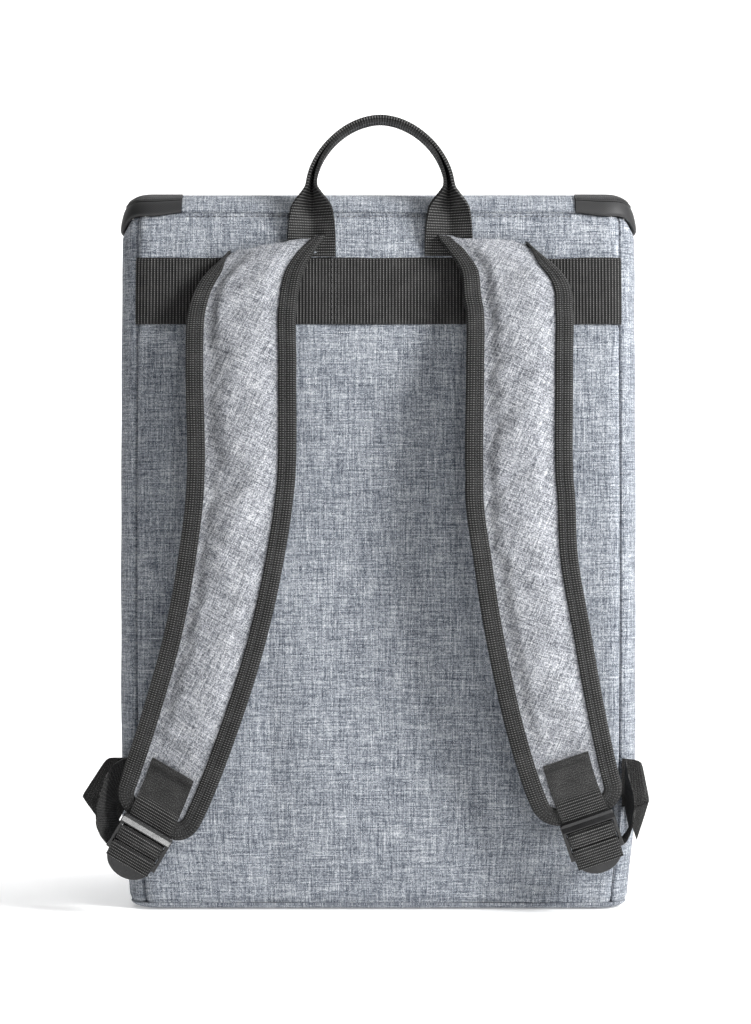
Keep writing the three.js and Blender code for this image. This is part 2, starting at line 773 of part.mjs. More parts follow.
function ladderLock(lock) {
  const half = lockWidth / 2;
  const reach = lowerBar + lockBar;
  const shape = new THREE.Shape();
  const corner = lockCorner;
  shape.moveTo(-half + corner, 0);
  shape.lineTo(half - corner, 0);
  shape.absarc(half - corner, -corner, corner, Math.PI / 2, 0, true);
  shape.lineTo(half, -reach);
  shape.absellipse(0, -reach, half - lockRail, lockThumb, 0, -Math.PI, true);
  shape.lineTo(-half, -reach);
  shape.absarc(-half + corner, -corner, corner, Math.PI, Math.PI / 2, true);
  for (const [from, to] of [[lockTopBar, middleBar], [middleBar + lockBar, lowerBar]]) {
    const hole = new THREE.Path();
    hole.moveTo(-half + lockRail, -from);
    hole.lineTo(-half + lockRail, -to);
    hole.lineTo(half - lockRail, -to);
    hole.lineTo(half - lockRail, -from);
    hole.closePath();
    shape.holes.push(hole);
  }
  const depth = lockThickness;
  const plate = new THREE.ExtrudeGeometry(shape, { depth, bevelEnabled: false, curveSegments: 5 });
  const up = lock.downward.clone().negate();
  const right = new THREE.Vector3().crossVectors(up, lock.normal);
  const place = new THREE.Matrix4().makeBasis(right, up, lock.normal).setPosition(lock.origin);
  plate.applyMatrix4(place);
  return plate;
}

// Slack webbing from the lock round to the side seam. Each row is a section: how far it has
// come from the lock to the seam, its offsets outward, forward and up in webbing widths, and
// the outward, forward and upward parts of its across direction.
const adjusterRows = {
  left: [
    { share: 0, out: 0.07, fore: -0.11, up: -0.01, acrossOut: 0.85, acrossFore: 0.15, acrossUp: 0.5 },
    { share: 0.1, out: 0.17, fore: -0.19, up: -0.04, acrossOut: 0.8, acrossFore: 0.45, acrossUp: 0.4 },
    { share: 0.3, out: 0.36, fore: -0.08, up: -0.08, acrossOut: 0.6, acrossFore: 0.75, acrossUp: 0.25 },
    { share: 0.55, out: 0.53, fore: 0.16, up: -0.05, acrossOut: 0.35, acrossFore: 0.93, acrossUp: 0.05 },
    { share: 0.8, out: 0.49, fore: 0.36, up: -0.01, acrossOut: 0.3, acrossFore: 0.92, acrossUp: 0.25 },
    { share: 0.95, out: 0.29, fore: 0.29, up: 0.07, acrossOut: 0.2, acrossFore: 0.5, acrossUp: 0.84 },
    { share: 1, out: 0.07, fore: 0.07, up: 0.07, acrossOut: 0, acrossFore: 0.1, acrossUp: 1 },
  ],
  right: [
    { share: 0, out: 0.07, fore: -0.13, up: -0.02, acrossOut: 0.94, acrossFore: 0.15, acrossUp: 0.3 },
    { share: 0.08, out: 0.19, fore: -0.17, up: -0.08, acrossOut: 0.8, acrossFore: 0.5, acrossUp: 0.35 },
    { share: 0.2, out: 0.36, fore: -0.13, up: -0.11, acrossOut: 0.45, acrossFore: 0.7, acrossUp: 0.5 },
    { share: 0.4, out: 0.46, fore: 0.03, up: -0.14, acrossOut: 0.1, acrossFore: 0.75, acrossUp: 0.65 },
    { share: 0.6, out: 0.39, fore: 0.15, up: -0.08, acrossOut: 0.05, acrossFore: 0.7, acrossUp: 0.7 },
    { share: 0.82, out: 0.19, fore: 0.11, up: -0.05, acrossOut: 0, acrossFore: 0.45, acrossUp: 0.9 },
    { share: 1, out: 0.04, fore: 0.05, up: 0, acrossOut: 0, acrossFore: 0.1, acrossUp: 1 },
  ],
};
const tailLength = { left: 7.5, right: 11 };

// Where the side seam of the harness panel runs
function seamPlace(side) {
  if (side === 'left') return cornerPlaces(360 - panelSeamTurn, 359, 1)[0];
  return cornerPlaces(panelSeamTurn, 1, 1)[0];
}

function adjuster(side, lock) {
  const hand = side === 'left' ? -1 : 1;
  const inLock = softened([
    [lowerBar + tailLength[side], over], [adjusterFold, over],
    [adjusterFold, behind], [lowerBar + slackStart, behind - webbingThickness * 0.4],
  ], foldCut).map(([down, high]) => ({ middle: lock.pointAt(down, 0, high), across: lock.outward }));
  const start = lock.pointAt(lowerBar + slackStart, 0, behind - webbingThickness);
  const end = bodyPoint(seamPlace(side), anchorHeight, -(gap * 2 + webbingThickness * 1.5));
  const loop = adjusterRows[side].map((row) => ({
    middle: start.clone().lerp(end, row.share)
      .add(new THREE.Vector3(hand * row.out, -row.fore, row.up).multiplyScalar(webbingWidth)),
    across: new THREE.Vector3(hand * row.acrossOut, -row.acrossFore, row.acrossUp).normalize(),
  }));
  const sections = [...inLock, ...loop].map((section) => ({ ...section, width: webbingWidth }));
  return ribbon(sections, webbingThickness);
}

// Tab of folded webbing in the side seam. Each row is a line across it: its two ends as
// offsets outward, forward and up from the seam in webbing widths.
const anchorRows = {
  left: [
    { out: 0, fore: 0, lowUp: -0.52, highOut: 0, highUp: 0.52 },
    { out: 0.55, fore: 0.06, lowUp: -0.4, highOut: 0.35, highUp: 0.54 },
    { out: 1.09, fore: 0.1, lowUp: -0.28, highOut: 0.58, highUp: 0.5 },
    { out: 1.1, fore: 0.01, lowUp: -0.34, highOut: 0.6, highUp: 0.44 },
    { out: 0.53, fore: -0.06, lowUp: -1.14, highOut: 0.12, highUp: -0.38 },
  ],
  right: [
    { out: 0, fore: 0, lowUp: -0.52, highOut: 0, highUp: 0.52 },
    { out: 0.3, fore: 0.05, lowUp: -0.5, highOut: 0.25, highUp: 0.5 },
    { out: 0.55, fore: 0.08, lowUp: -0.38, highOut: 0.38, highUp: 0.44 },
    { out: 0.56, fore: -0.01, lowUp: -0.44, highOut: 0.4, highUp: 0.38 },
    { out: 0.32, fore: -0.06, lowUp: -1.25, highOut: 0.08, highUp: -0.5 },
  ],
};

function anchorTab(side) {
  const hand = side === 'left' ? -1 : 1;
  const root = bodyPoint(seamPlace(side), anchorHeight, -(gap + webbingThickness / 2));
  const ends = anchorRows[side].map((row) => {
    const low = new THREE.Vector3(hand * row.out, -row.fore, row.lowUp);
    const high = new THREE.Vector3(hand * row.highOut, -row.fore, row.highUp);
    return [low, high].map((offset) => offset.multiplyScalar(webbingWidth).add(root));
  });
  const sections = ends.map(([low, high]) => ({
    middle: low.clone().lerp(high, 0.5),
    across: high.clone().sub(low).normalize(),
    width: high.distanceTo(low),
  }));
  return ribbon(sections, webbingThickness);
}

for (const side of ['left', 'right']) {
  const space = strapSpace(side);
  const lock = lockSpace(space);
  addPiece(`shoulder_strap_${side}`, pad(space), strapFabric);
  addPiece(`strap_binding_${side}`, strapBinding(space), binding);
  addPiece(`strap_patch_${side}`, strapPatch(space, lock), webbing);
  addPiece(`ladder_lock_${side}`, ladderLock(lock), plastic);
  addPiece(`adjuster_webbing_${side}`, adjuster(side, lock), webbing);
  addPiece(`anchor_tab_${side}`, anchorTab(side), webbing);
}

export default part;
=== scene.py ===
"""Cooler backpack seen from its harness side: cloth, webbing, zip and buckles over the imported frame."""

import bmesh
import bpy
import numpy as np
from mathutils import Matrix, Vector


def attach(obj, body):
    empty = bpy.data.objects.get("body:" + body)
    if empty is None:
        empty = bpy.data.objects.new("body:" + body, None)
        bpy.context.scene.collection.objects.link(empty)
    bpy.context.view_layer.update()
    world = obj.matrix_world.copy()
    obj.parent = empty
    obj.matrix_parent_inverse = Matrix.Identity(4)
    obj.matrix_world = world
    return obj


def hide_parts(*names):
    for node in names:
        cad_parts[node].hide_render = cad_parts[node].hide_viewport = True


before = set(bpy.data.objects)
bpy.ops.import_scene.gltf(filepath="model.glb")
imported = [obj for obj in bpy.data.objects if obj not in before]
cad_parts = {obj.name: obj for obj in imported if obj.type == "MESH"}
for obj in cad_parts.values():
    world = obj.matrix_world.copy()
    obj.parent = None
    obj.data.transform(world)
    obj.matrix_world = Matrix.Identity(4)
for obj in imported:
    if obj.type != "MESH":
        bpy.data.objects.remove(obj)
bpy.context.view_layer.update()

scene = bpy.context.scene
BODY = "root"

# Soft box, in metres
body_width = 0.310
body_depth = 0.180
body_height = 0.430
wall_thickness = 0.007
corner_radius = 0.020
panel_seam_turn = 30
side_bulge = 0.0012
base_taper = 0.004
taper_height = 0.060
base_seam_height = 0.004
base_plug_height = 0.004
base_rounding = 0.009
crease_offset = 0.064
crease_top = 0.165
crease_middle = -0.0018
straight_half_width = body_width / 2 - corner_radius
straight_half_depth = body_depth / 2 - corner_radius

# Lid and zip
lid_thickness = 0.010
lid_crown = 0.003
hinge_width = 0.236
hinge_skin = 0.0024
roll_inset = 0.013
roll_drop_hinge = 0.011
roll_drop_corner = 0.013
roll_drop_side = 0.022
tape_thickness = 0.002
tape_proud = 0.0015
coil_width = 0.005
coil_proud = 0.0009
coil_share = 0.55
hinge_roll_length = 0.023
side_roll_length = 0.028
coil_half_share = coil_width / 2 / (np.pi / 2 * roll_inset)

# Webbing band
band_height = 0.040
hinge_seam = body_height - roll_drop_hinge
band_top = hinge_seam - 0.027
band_bottom = band_top - band_height
band_thickness = 0.0016
band_seat = 0.0014
puff_height = 0.0008
puff_reach = 0.006
band_pitch = 0.0019
band_rib_depth = 0.0003
band_edge_drop = 0.0004

# Carry handle
handle_span = 0.082
handle_rise = 0.0435
handle_shift = 0.001
handle_roundness = 1.85
handle_width = 0.0285
handle_thickness = 0.0018
handle_fold_rounding = 0.00115
pinch_height = body_height + 0.003

# Shoulder straps and what they carry
strap_width = 0.064
strap_stand = 0.035
pad_thickness = 0.009
rim_thickness = 0.0045
strap_top_thickness = 0.003
binding_width = 0.0105
binding_thickness = 0.0012
binding_pitch = 0.0014
binding_steps = 5
stitch_line = binding_width * 0.62
strap_end_radius = 0.015
puff_ramp = 0.009
webbing_width = 0.028
webbing_thickness = 0.0015
webbing_pitch = 0.0016
rib_depth = 0.00016
rib_steps = 6
fold_cut = 0.001
patch_length = 0.036
patch_run = patch_length + 0.006
lock_width = 0.033
lock_rail = 0.0022
lock_thickness = 0.0024
lock_top_bar = 0.0055
lock_slot = 0.004
lock_bar = 0.004
lock_wide_slot = 0.006
lock_thumb = 0.012
lock_start = 0.0025
lock_corner = 0.002
slot_corner = 0.0009
anchor_height = 0.077
gap = 0.0003
rim_gap = 0.0004

# Sections down each strap: level and middle as shares, width as a share, rise of the outer edge
# in degrees, and how far it stands off the panel as a share
strap_rows = {
    "left": [
        (0.929, 0.392, 0.92, -10, 0.118), (0.888, 0.478, 0.95, -6, 0.22),
        (0.835, 0.52, 1.0, -2, 0.47), (0.75, 0.522, 1.015, 0, 0.81),
        (0.6, 0.52, 0.99, 1, 0.99), (0.49, 0.559, 0.955, 8, 1),
        (0.38, 0.623, 0.92, 13, 0.93), (0.27, 0.716, 0.89, 18.5, 0.77),
        (0.18, 0.806, 0.86, 25, 0.6), (0.124, 0.873, 0.82, 31, 0.5),
    ],
    "right": [
        (0.935, 0.401, 0.85, -4.5, 0.118), (0.888, 0.511, 0.96, -3, 0.22),
        (0.835, 0.538, 0.99, 0, 0.47), (0.75, 0.535, 0.98, 0, 0.81),
        (0.6, 0.532, 0.985, 0, 0.99), (0.49, 0.557, 0.95, 5, 1),
        (0.38, 0.609, 0.955, 10, 0.93), (0.27, 0.673, 0.925, 13, 0.77),
        (0.18, 0.742, 0.87, 17, 0.61), (0.137, 0.791, 0.82, 19, 0.52),
    ],
}

# Slack webbing from each lock to the side seam: share of the way, offsets out, fore and up in
# webbing widths, and the out, fore and up parts of its across direction
slack_rows = {
    "left": [
        (0, 0.07, -0.11, -0.01, 0.85, 0.15, 0.5), (0.1, 0.17, -0.19, -0.04, 0.8, 0.45, 0.4),
        (0.3, 0.36, -0.08, -0.08, 0.6, 0.75, 0.25), (0.55, 0.53, 0.16, -0.05, 0.35, 0.93, 0.05),
        (0.8, 0.49, 0.36, -0.01, 0.3, 0.92, 0.25), (0.95, 0.29, 0.29, 0.07, 0.2, 0.5, 0.84),
        (1, 0.07, 0.07, 0.07, 0, 0.1, 1),
    ],
    "right": [
        (0, 0.07, -0.13, -0.02, 0.94, 0.15, 0.3), (0.08, 0.19, -0.17, -0.08, 0.8, 0.5, 0.35),
        (0.2, 0.36, -0.13, -0.11, 0.45, 0.7, 0.5), (0.4, 0.46, 0.03, -0.14, 0.1, 0.75, 0.65),
        (0.6, 0.39, 0.15, -0.08, 0.05, 0.7, 0.7), (0.82, 0.19, 0.11, -0.05, 0, 0.45, 0.9),
        (1, 0.04, 0.05, 0, 0, 0.1, 1),
    ],
}
tail_length = {"left": 0.0075, "right": 0.0095}
slack_start = 0.003

# Lines across each seam tab: out, fore, low up, high out, high up, in webbing widths
tab_rows = {
    "left": [
        (0, 0, -0.52, 0, 0.52), (0.55, 0.06, -0.4, 0.35, 0.54), (1.09, 0.1, -0.28, 0.58, 0.5),
        (1.1, 0.01, -0.34, 0.6, 0.44), (0.53, -0.06, -1.14, 0.12, -0.38),
    ],
    "right": [
        (0, 0, -0.52, 0, 0.52), (0.3, 0.05, -0.5, 0.25, 0.5), (0.55, 0.08, -0.38, 0.38, 0.44),
        (0.56, -0.01, -0.44, 0.4, 0.38), (0.32, -0.06, -1.25, 0.08, -0.5),
    ],
}


# Nodes, written as sums on their sockets


class Wire:
    """An output of a node in a tree; plain arithmetic on it adds Math nodes."""

    def __init__(self, tree, socket=None):
        self.tree = tree
        self.socket = socket

    def node(self, kind, settings=None, values=None, out=0):
        """Adds a node: its settings first, then its sockets' values or links, and returns an output."""
        node = self.tree.nodes.new(kind)
        for name, value in (settings or {}).items():
            if name == "stops":
                ramp = node.color_ramp.elements
                while len(ramp) < len(value):
                    ramp.new(0.5)
                for stop, (place, shade) in zip(ramp, value):
                    stop.position = place
                    stop.color = (*shade, 1)
            else:
                setattr(node, name, value)
        for key, value in (values or {}).items():
            if isinstance(value, Wire):
                self.tree.links.new(value.socket, node.inputs[key])
            else:
                node.inputs[key].default_value = value
        return Wire(self.tree, node.outputs[out] if len(node.outputs) else None)

    def math(self, operation, *others):
        """A Math node on this value and any others after it."""
        values = dict(enumerate((self, *others)))
        return self.node("ShaderNodeMath", {"operation": operation}, values)

    def __add__(self, other):
        return self.math("ADD", other)

    __radd__ = __add__

    def __sub__(self, other):
        return self.math("SUBTRACT", other)

    def __rsub__(self, other):
        return self.node("ShaderNodeMath", {"operation": "SUBTRACT"}, {0: other, 1: self})

    def __mul__(self, other):
        return self.math("MULTIPLY", other)

    def __truediv__(self, other):
        return self.math("DIVIDE", other)

    def clamped(self, low, high, to_low=0.0, to_high=1.0):
        """Straight from one range to another, held at its ends."""
        return self.node("ShaderNodeMapRange", {"clamp": True}, {
            0: self, 1: low, 2: high, 3: to_low, 4: to_high})


def new_finish(name):
    """An empty material and a wire into its tree."""
    finish = bpy.data.materials.new(name)
    finish.use_nodes = True
    finish.node_tree.nodes.clear()
    return finish, Wire(finish.node_tree)


def close_finish(wire, surface):
    wire.node("ShaderNodeOutputMaterial", values={"Surface": surface})


def cloth_axes(wire, tilt=0.0):
    """The piece's own cloth directions in metres, turned by a tilt."""
    plane = wire.node("ShaderNodeUVMap", {"uv_map": "cloth"})
    turned = wire.node("ShaderNodeMapping", values={"Vector": plane, "Rotation": (0, 0, tilt)})
    across = wire.node("ShaderNodeSeparateXYZ", values={"Vector": turned}, out=0)
    along = wire.node("ShaderNodeSeparateXYZ", values={"Vector": turned}, out=1)
    return across, along


def grain(wire, x, y, seed, detail=2.0, roughness=0.6):
    """Noise over a plane whose axes may be stretched differently."""
    place = wire.node("ShaderNodeCombineXYZ", values={0: x, 1: y, 2: seed})
    return wire.node("ShaderNodeTexNoise", values={
        "Vector": place, "Scale": 1.0, "Detail": detail, "Roughness": roughness})


def melange_cloth(name, shades, thread, tilt, streak, speckle):
    """Plain weave of yarns spun from dark and light fibres, with thin slubs both ways."""
    finish, wire = new_finish(name)
    across, along = cloth_axes(wire, tilt)
    x = across / thread
    y = along / thread
    warp = grain(wire, x, y / 24, 1.7, 2.0, 0.7)
    weft = grain(wire, x / 24, y, 8.3, 2.0, 0.7)
    warp_slub = grain(wire, x, y / 45, 3.1, 1.0).clamped(0.62, 0.74)
    weft_slub = grain(wire, x / 45, y, 5.9, 1.0).clamped(0.62, 0.74)
    warp_dark = grain(wire, x, y / 40, 13.1, 1.0).clamped(0.62, 0.74)
    weft_dark = grain(wire, x / 40, y, 15.9, 1.0).clamped(0.62, 0.74)
    fleck = grain(wire, x * 1.4, y * 1.4, 21.0, 2.0, 0.8)
    cloud = grain(wire, x / 40, y / 40, 31.0, 2.0)
    crossing = wire.node("ShaderNodeCombineXYZ", values={
        0: x.math("FLOOR"), 1: y.math("FLOOR"), 2: 4.0})
    spot = wire.node("ShaderNodeTexWhiteNoise", {"noise_dimensions": "3D"}, {"Vector": crossing})
    over = (x * np.pi).math("SINE") * (y * np.pi).math("SINE")
    on_top = over.clamped(-0.15, 0.15)
    yarn = warp * on_top + weft * (1 - on_top)
    threads = (yarn - 0.5) * 0.95 + (warp + weft - 1) * 0.5
    tone = 0.46 + threads + (fleck - 0.5) * speckle + (spot - 0.5) * (speckle * 0.5)
    tone = tone + (cloud - 0.5) * 0.14
    tone = tone + (warp_slub + weft_slub) * streak - (warp_dark + weft_dark) * streak
    colour = wire.node("ShaderNodeValToRGB", {"stops": shades}, {"Fac": tone})
    lump = over.math("ABSOLUTE") * 0.6 + fleck * 0.8 + (warp_slub + weft_slub) * 0.3
    bump = wire.node("ShaderNodeBump", values={
        "Height": lump, "Strength": 0.5, "Distance": 0.0004})
    rough = fleck * 0.15 + 0.78
    surface = wire.node("ShaderNodeBsdfPrincipled", values={
        "Base Color": colour, "Roughness": rough, "Normal": bump,
        "Specular IOR Level": 0.2, "Sheen Weight": 0.08, "Sheen Roughness": 0.5})
    close_finish(wire, surface)
    return finish


def ribbed_webbing(name, dark, light, pitch, thread, roughness):
    """Woven nylon webbing: a painted highlight of pale dashes along the crown of each rib, less of it where
    the webbing is flat.
    """
    finish, wire = new_finish(name)
    across, along = cloth_axes(wire)
    ribs = wire.node("ShaderNodeAttribute", {"attribute_name": "rib"}, out=2)
    # Painted highlight: the pale dashes on the crown of each rib stand in for the gloss of the nylon there,
    # and the grooves keep the dark base colour; the rib trait weakens it where the webbing lies flat.
    crown = (along * (2 * np.pi / pitch)).math("COSINE").clamped(0.35, 0.95)
    dash = (across * (2 * np.pi / thread)).math("SINE").clamped(-0.4, 0.8)
    yarn = grain(wire, across / thread, along / pitch, 2.0, 2.0, 0.7)
    fleck = grain(wire, across / (thread * 0.5), along / (pitch * 0.4), 9.0, 3.0, 0.8)
    wear = grain(wire, across / 0.012, along / 0.012, 4.0, 2.0)
    line = crown * (0.06 + dash * 0.85 + (yarn - 0.5) * 1.2)
    flat = (fleck - 0.5) * 1.8 + 0.06
    tone = line * ribs + flat * (1 - ribs) + (wear - 0.5) * 0.25 + (fleck - 0.5) * 0.3
    tone = tone.clamped(0.0, 1.0)
    colour = wire.node("ShaderNodeValToRGB", {"stops": ((0, dark), (1, light))}, {"Fac": tone})
    height = crown * ribs * 0.5 + dash * ribs * 0.4 + fleck * 0.7
    bump = wire.node("ShaderNodeBump", values={
        "Height": height, "Strength": 0.6, "Distance": 0.0003})
    rough = yarn.clamped(0.3, 0.7, roughness, roughness + 0.18)
    surface = wire.node("ShaderNodeBsdfPrincipled", values={
        "Base Color": colour, "Roughness": rough, "Normal": bump, "Specular IOR Level": 0.22})
    close_finish(wire, surface)
    return finish


def twill_tape(name, dark, light, pitch, roughness):
    """Fine smooth woven tape with a faint diagonal."""
    finish, wire = new_finish(name)
    across, along = cloth_axes(wire)
    slant = (across + along) * (2 * np.pi / pitch)
    line = slant.math("SINE").clamped(-1, 1)
    yarn = grain(wire, across / 0.0006, along / 0.0006, 6.0, 2.0, 0.7)
    tone = (line * 0.35 + yarn * 0.6).clamped(0.1, 0.9)
    colour = wire.node("ShaderNodeValToRGB", {"stops": ((0, dark), (1, light))}, {"Fac": tone})
    bump = wire.node("ShaderNodeBump", values={
        "Height": tone, "Strength": 0.3, "Distance": 0.0002})
    surface = wire.node("ShaderNodeBsdfPrincipled", values={
        "Base Color": colour, "Roughness": yarn.clamped(0.3, 0.7, roughness, roughness + 0.12),
        "Normal": bump, "Specular IOR Level": 0.4})
    close_finish(wire, surface)
    return finish


def moulded_plastic(name, shade, roughness):
    """Moulded acetal with faint scuffs."""
    finish, wire = new_finish(name)
    spot = wire.node("ShaderNodeTexCoord", out=3)
    scuff = wire.node("ShaderNodeTexNoise", values={
        "Vector": spot, "Scale": 420.0, "Detail": 4.0, "Roughness": 0.7})
    broad = wire.node("ShaderNodeTexNoise", values={
        "Vector": spot, "Scale": 60.0, "Detail": 2.0, "Roughness": 0.5})
    rough = scuff * 0.10 + broad * 0.10 + (roughness - 0.10)
    bump = wire.node("ShaderNodeBump", values={
        "Height": scuff, "Strength": 0.12, "Distance": 0.0001})
    paler = tuple(min(1.0, part * 1.5 + 0.004) for part in shade)
    colour = wire.node("ShaderNodeValToRGB", {"stops": ((0.3, shade), (0.8, paler))}, {"Fac": broad})
    surface = wire.node("ShaderNodeBsdfPrincipled", values={
        "Base Color": colour, "Roughness": rough, "Normal": bump, "Specular IOR Level": 0.5})
    close_finish(wire, surface)
    return finish


def spun_thread(name, shade):
    """Sewing thread with its twist."""
    finish, wire = new_finish(name)
    spot = wire.node("ShaderNodeTexCoord", out=3)
    fuzz = wire.node("ShaderNodeTexNoise", values={
        "Vector": spot, "Scale": 2600.0, "Detail": 2.0, "Roughness": 0.6})
    paler = tuple(min(1.0, part * 1.6) for part in shade)
    colour = wire.node("ShaderNodeValToRGB", {"stops": ((0.3, shade), (0.7, paler))}, {"Fac": fuzz})
    surface = wire.node("ShaderNodeBsdfPrincipled", values={
        "Base Color": colour, "Roughness": fuzz.clamped(0.2, 0.8, 0.5, 0.7)})
    close_finish(wire, surface)
    return finish


body_shades = (
    (0.02, (0.034, 0.041, 0.058)), (0.30, (0.135, 0.151, 0.180)), (0.52, (0.268, 0.290, 0.322)),
    (0.74, (0.440, 0.464, 0.498)), (0.98, (0.720, 0.735, 0.760)),
)
strap_shades = (
    (0.02, (0.046, 0.050, 0.061)), (0.30, (0.160, 0.168, 0.188)), (0.52, (0.295, 0.306, 0.330)),
    (0.74, (0.465, 0.476, 0.500)), (0.98, (0.730, 0.735, 0.750)),
)
shell_cloth = melange_cloth(
    "shell_melange", body_shades, thread=0.00068, tilt=0.0, streak=0.15, speckle=0.75)
strap_cloth = melange_cloth(
    "strap_melange", strap_shades, thread=0.00062, tilt=0.42, streak=0.07, speckle=0.9)
# The pale second colour of each webbing and of the binding is the painted highlight on the crowns of their
# ribs, not a colour of their yarn.
band_webbing = ribbed_webbing(
    "band_webbing", (0.0055,) * 3, (0.210, 0.208, 0.205), band_pitch, thread=0.0011, roughness=0.56)
strap_webbing = ribbed_webbing(
    "strap_webbing", (0.0055,) * 3, (0.235, 0.233, 0.230), webbing_pitch, thread=0.0011, roughness=0.56)
edge_binding = ribbed_webbing(
    "edge_binding", (0.0080,) * 3, (0.185, 0.184, 0.182), binding_pitch, thread=0.0009, roughness=0.60)
zip_tape = twill_tape(
    "zip_tape", (0.012, 0.012, 0.0125), (0.036, 0.036, 0.037), pitch=0.0016, roughness=0.52)
zip_teeth = moulded_plastic("zip_teeth", (0.016, 0.016, 0.0165), roughness=0.42)
gloss_plastic = moulded_plastic("gloss_plastic", (0.010, 0.010, 0.0105), roughness=0.20)
dark_thread = spun_thread("dark_thread", (0.020, 0.020, 0.022))
grey_thread = spun_thread("grey_thread", (0.150, 0.165, 0.200))


# Number helpers


def smooth(value, start, end):
    """Soft step from 0 to 1."""
    share = np.clip((value - start) / (end - start), 0, 1)
    return share * share * (3 - 2 * share)


def mixed(start, end, share):
    return start + (end - start) * share


def unit(vectors):
    return vectors / np.linalg.norm(vectors, axis=-1, keepdims=True)


def graded(start, end, coarse, fine, margin):
    """Steps from start to end, fine near both ends and coarse between."""
    near = np.arange(0, margin, fine)
    count = max(int(np.ceil((end - start - 2 * margin) / coarse)), 1)
    middle = np.linspace(start + margin, end - margin, count + 1)
    return np.concatenate([start + near, middle, (end - near)[::-1]])


def rumple(u, v, seed, wave=0.07, height=0.0003):
    """Gentle unevenness of stretched cloth: a few soft waves in fixed random directions."""
    random = np.random.default_rng(seed)
    total = np.zeros(np.broadcast(u, v).shape)
    for _ in range(7):
        turn = random.uniform(0, np.pi)
        length = wave * random.uniform(0.6, 1.8)
        phase = random.uniform(0, 2 * np.pi)
        total = total + np.sin((u * np.cos(turn) + v * np.sin(turn)) * 2 * np.pi / length + phase)
    return total * height / 3


def catmull(points, shares):
    """Centripetal Catmull-Rom curve through points, at shares of its knots."""
    count = len(points)
    place = np.clip(shares, 0, 1) * (count - 1)
    first = np.minimum(place.astype(int), count - 2)
    local = (place - first)[:, None]
    padded = np.vstack([2 * points[0] - points[1], points, 2 * points[-1] - points[-2]])
    p0, p1, p2, p3 = (padded[first + step] for step in range(4))

    def knot(a, b):
        return np.maximum(np.linalg.norm(a - b, axis=1, keepdims=True), 1e-12) ** 0.5

    d0, d1, d2 = knot(p0, p1), knot(p1, p2), knot(p2, p3)
    slope1 = ((p1 - p0) / d0 - (p2 - p0) / (d0 + d1) + (p2 - p1) / d1) * d1
    slope2 = ((p2 - p1) / d1 - (p3 - p1) / (d1 + d2) + (p3 - p2) / d2) * d1
    c2 = -3 * p1 + 3 * p2 - 2 * slope1 - slope2
    c3 = 2 * p1 - 2 * p2 + slope1 + slope2
    return p1 + slope1 * local + c2 * local ** 2 + c3 * local ** 3


def lengths_along(points):
    steps = np.linalg.norm(np.diff(points, axis=0), axis=-1)
    return np.concatenate([[0.0], np.cumsum(steps)])


# Meshes


def make_piece(name, points, faces, cloth=None, **traits):
    """An object from points and faces, with its cloth plane and any traits of its points."""
    mesh = bpy.data.meshes.new(name)
    mesh.from_pydata(np.asarray(points).tolist(), [], faces)
    if cloth is not None:
        corners = np.empty(len(mesh.loops), np.int32)
        mesh.loops.foreach_get("vertex_index", corners)
        plane = mesh.uv_layers.new(name="cloth")
        plane.data.foreach_set("uv", np.asarray(cloth, float)[corners].ravel())
    for trait, values in traits.items():
        layer = mesh.attributes.new(trait, "FLOAT", "POINT")
        layer.data.foreach_set("value", np.asarray(values, float))
    mesh.update()
    piece = bpy.data.objects.new(name, mesh)
    scene.collection.objects.link(piece)
    return piece


def turned_out(piece):
    """Makes the faces of closed shells point outwards."""
    work = bmesh.new()
    work.from_mesh(piece.data)
    bmesh.ops.recalc_face_normals(work, faces=work.faces)
    work.to_mesh(piece.data)
    work.free()
    return piece


def softly_lit(piece, sharp=42):
    """Smooth shading that keeps real corners."""
    piece.data.shade_smooth()
    piece.data.set_sharp_from_angle(angle=np.radians(sharp))


def grid_faces(rows, columns, first=0, round_columns=False, flip=False):
    """Four-sided faces of a grid of points, closed where its columns go all the way round."""
    steps = columns if round_columns else columns - 1
    j, i = np.meshgrid(np.arange(rows - 1), np.arange(steps), indexing="ij")
    after = (i + 1) % columns
    low = j * columns
    high = low + columns
    quads = np.stack([low + i, low + after, high + after, high + i], -1)
    quads = quads.reshape(-1, 4) + first
    return (quads[:, ::-1] if flip else quads).tolist()


def shell(name, front, back, cloth, back_rib=0, **traits):
    """A closed sheet with thickness from two grids of points, with a share of its ribs on the back."""
    rows, columns = front.shape[:2]
    count = rows * columns
    faces = grid_faces(rows, columns) + grid_faces(rows, columns, count, flip=True)
    left = [j * columns for j in range(rows)]
    right = [j * columns + columns - 1 for j in range(rows)]
    low = list(range(columns))
    high = list(range(count - columns, count))
    for edge in (left, right, low, high):
        faces += [(a, b, b + count, a + count) for a, b in zip(edge, edge[1:])]
    points = np.concatenate([front.reshape(-1, 3), back.reshape(-1, 3)])
    flat = np.broadcast_to(cloth, (*front.shape[:2], 2)).reshape(-1, 2)
    cloth_plane = np.concatenate([flat, flat])
    full = {}
    for trait, values in traits.items():
        on_front = np.broadcast_to(values, front.shape[:2]).ravel()
        on_back = on_front if trait == "run" else on_front * back_rib
        full[trait] = np.concatenate([on_front, on_back])
    return turned_out(make_piece(name, points, faces, cloth_plane, **full))


def tube(name, rings, cloth, **traits):
    """A closed body through rings of equal count."""
    rows, columns = rings.shape[:2]
    faces = grid_faces(rows, columns, round_columns=True)
    faces.append(list(range(columns))[::-1])
    faces.append(list(range((rows - 1) * columns, rows * columns)))
    full = {trait: np.broadcast_to(values, (rows, columns)).ravel() for trait, values in traits.items()}
    return turned_out(make_piece(name, rings.reshape(-1, 3), faces, cloth.reshape(-1, 2), **full))


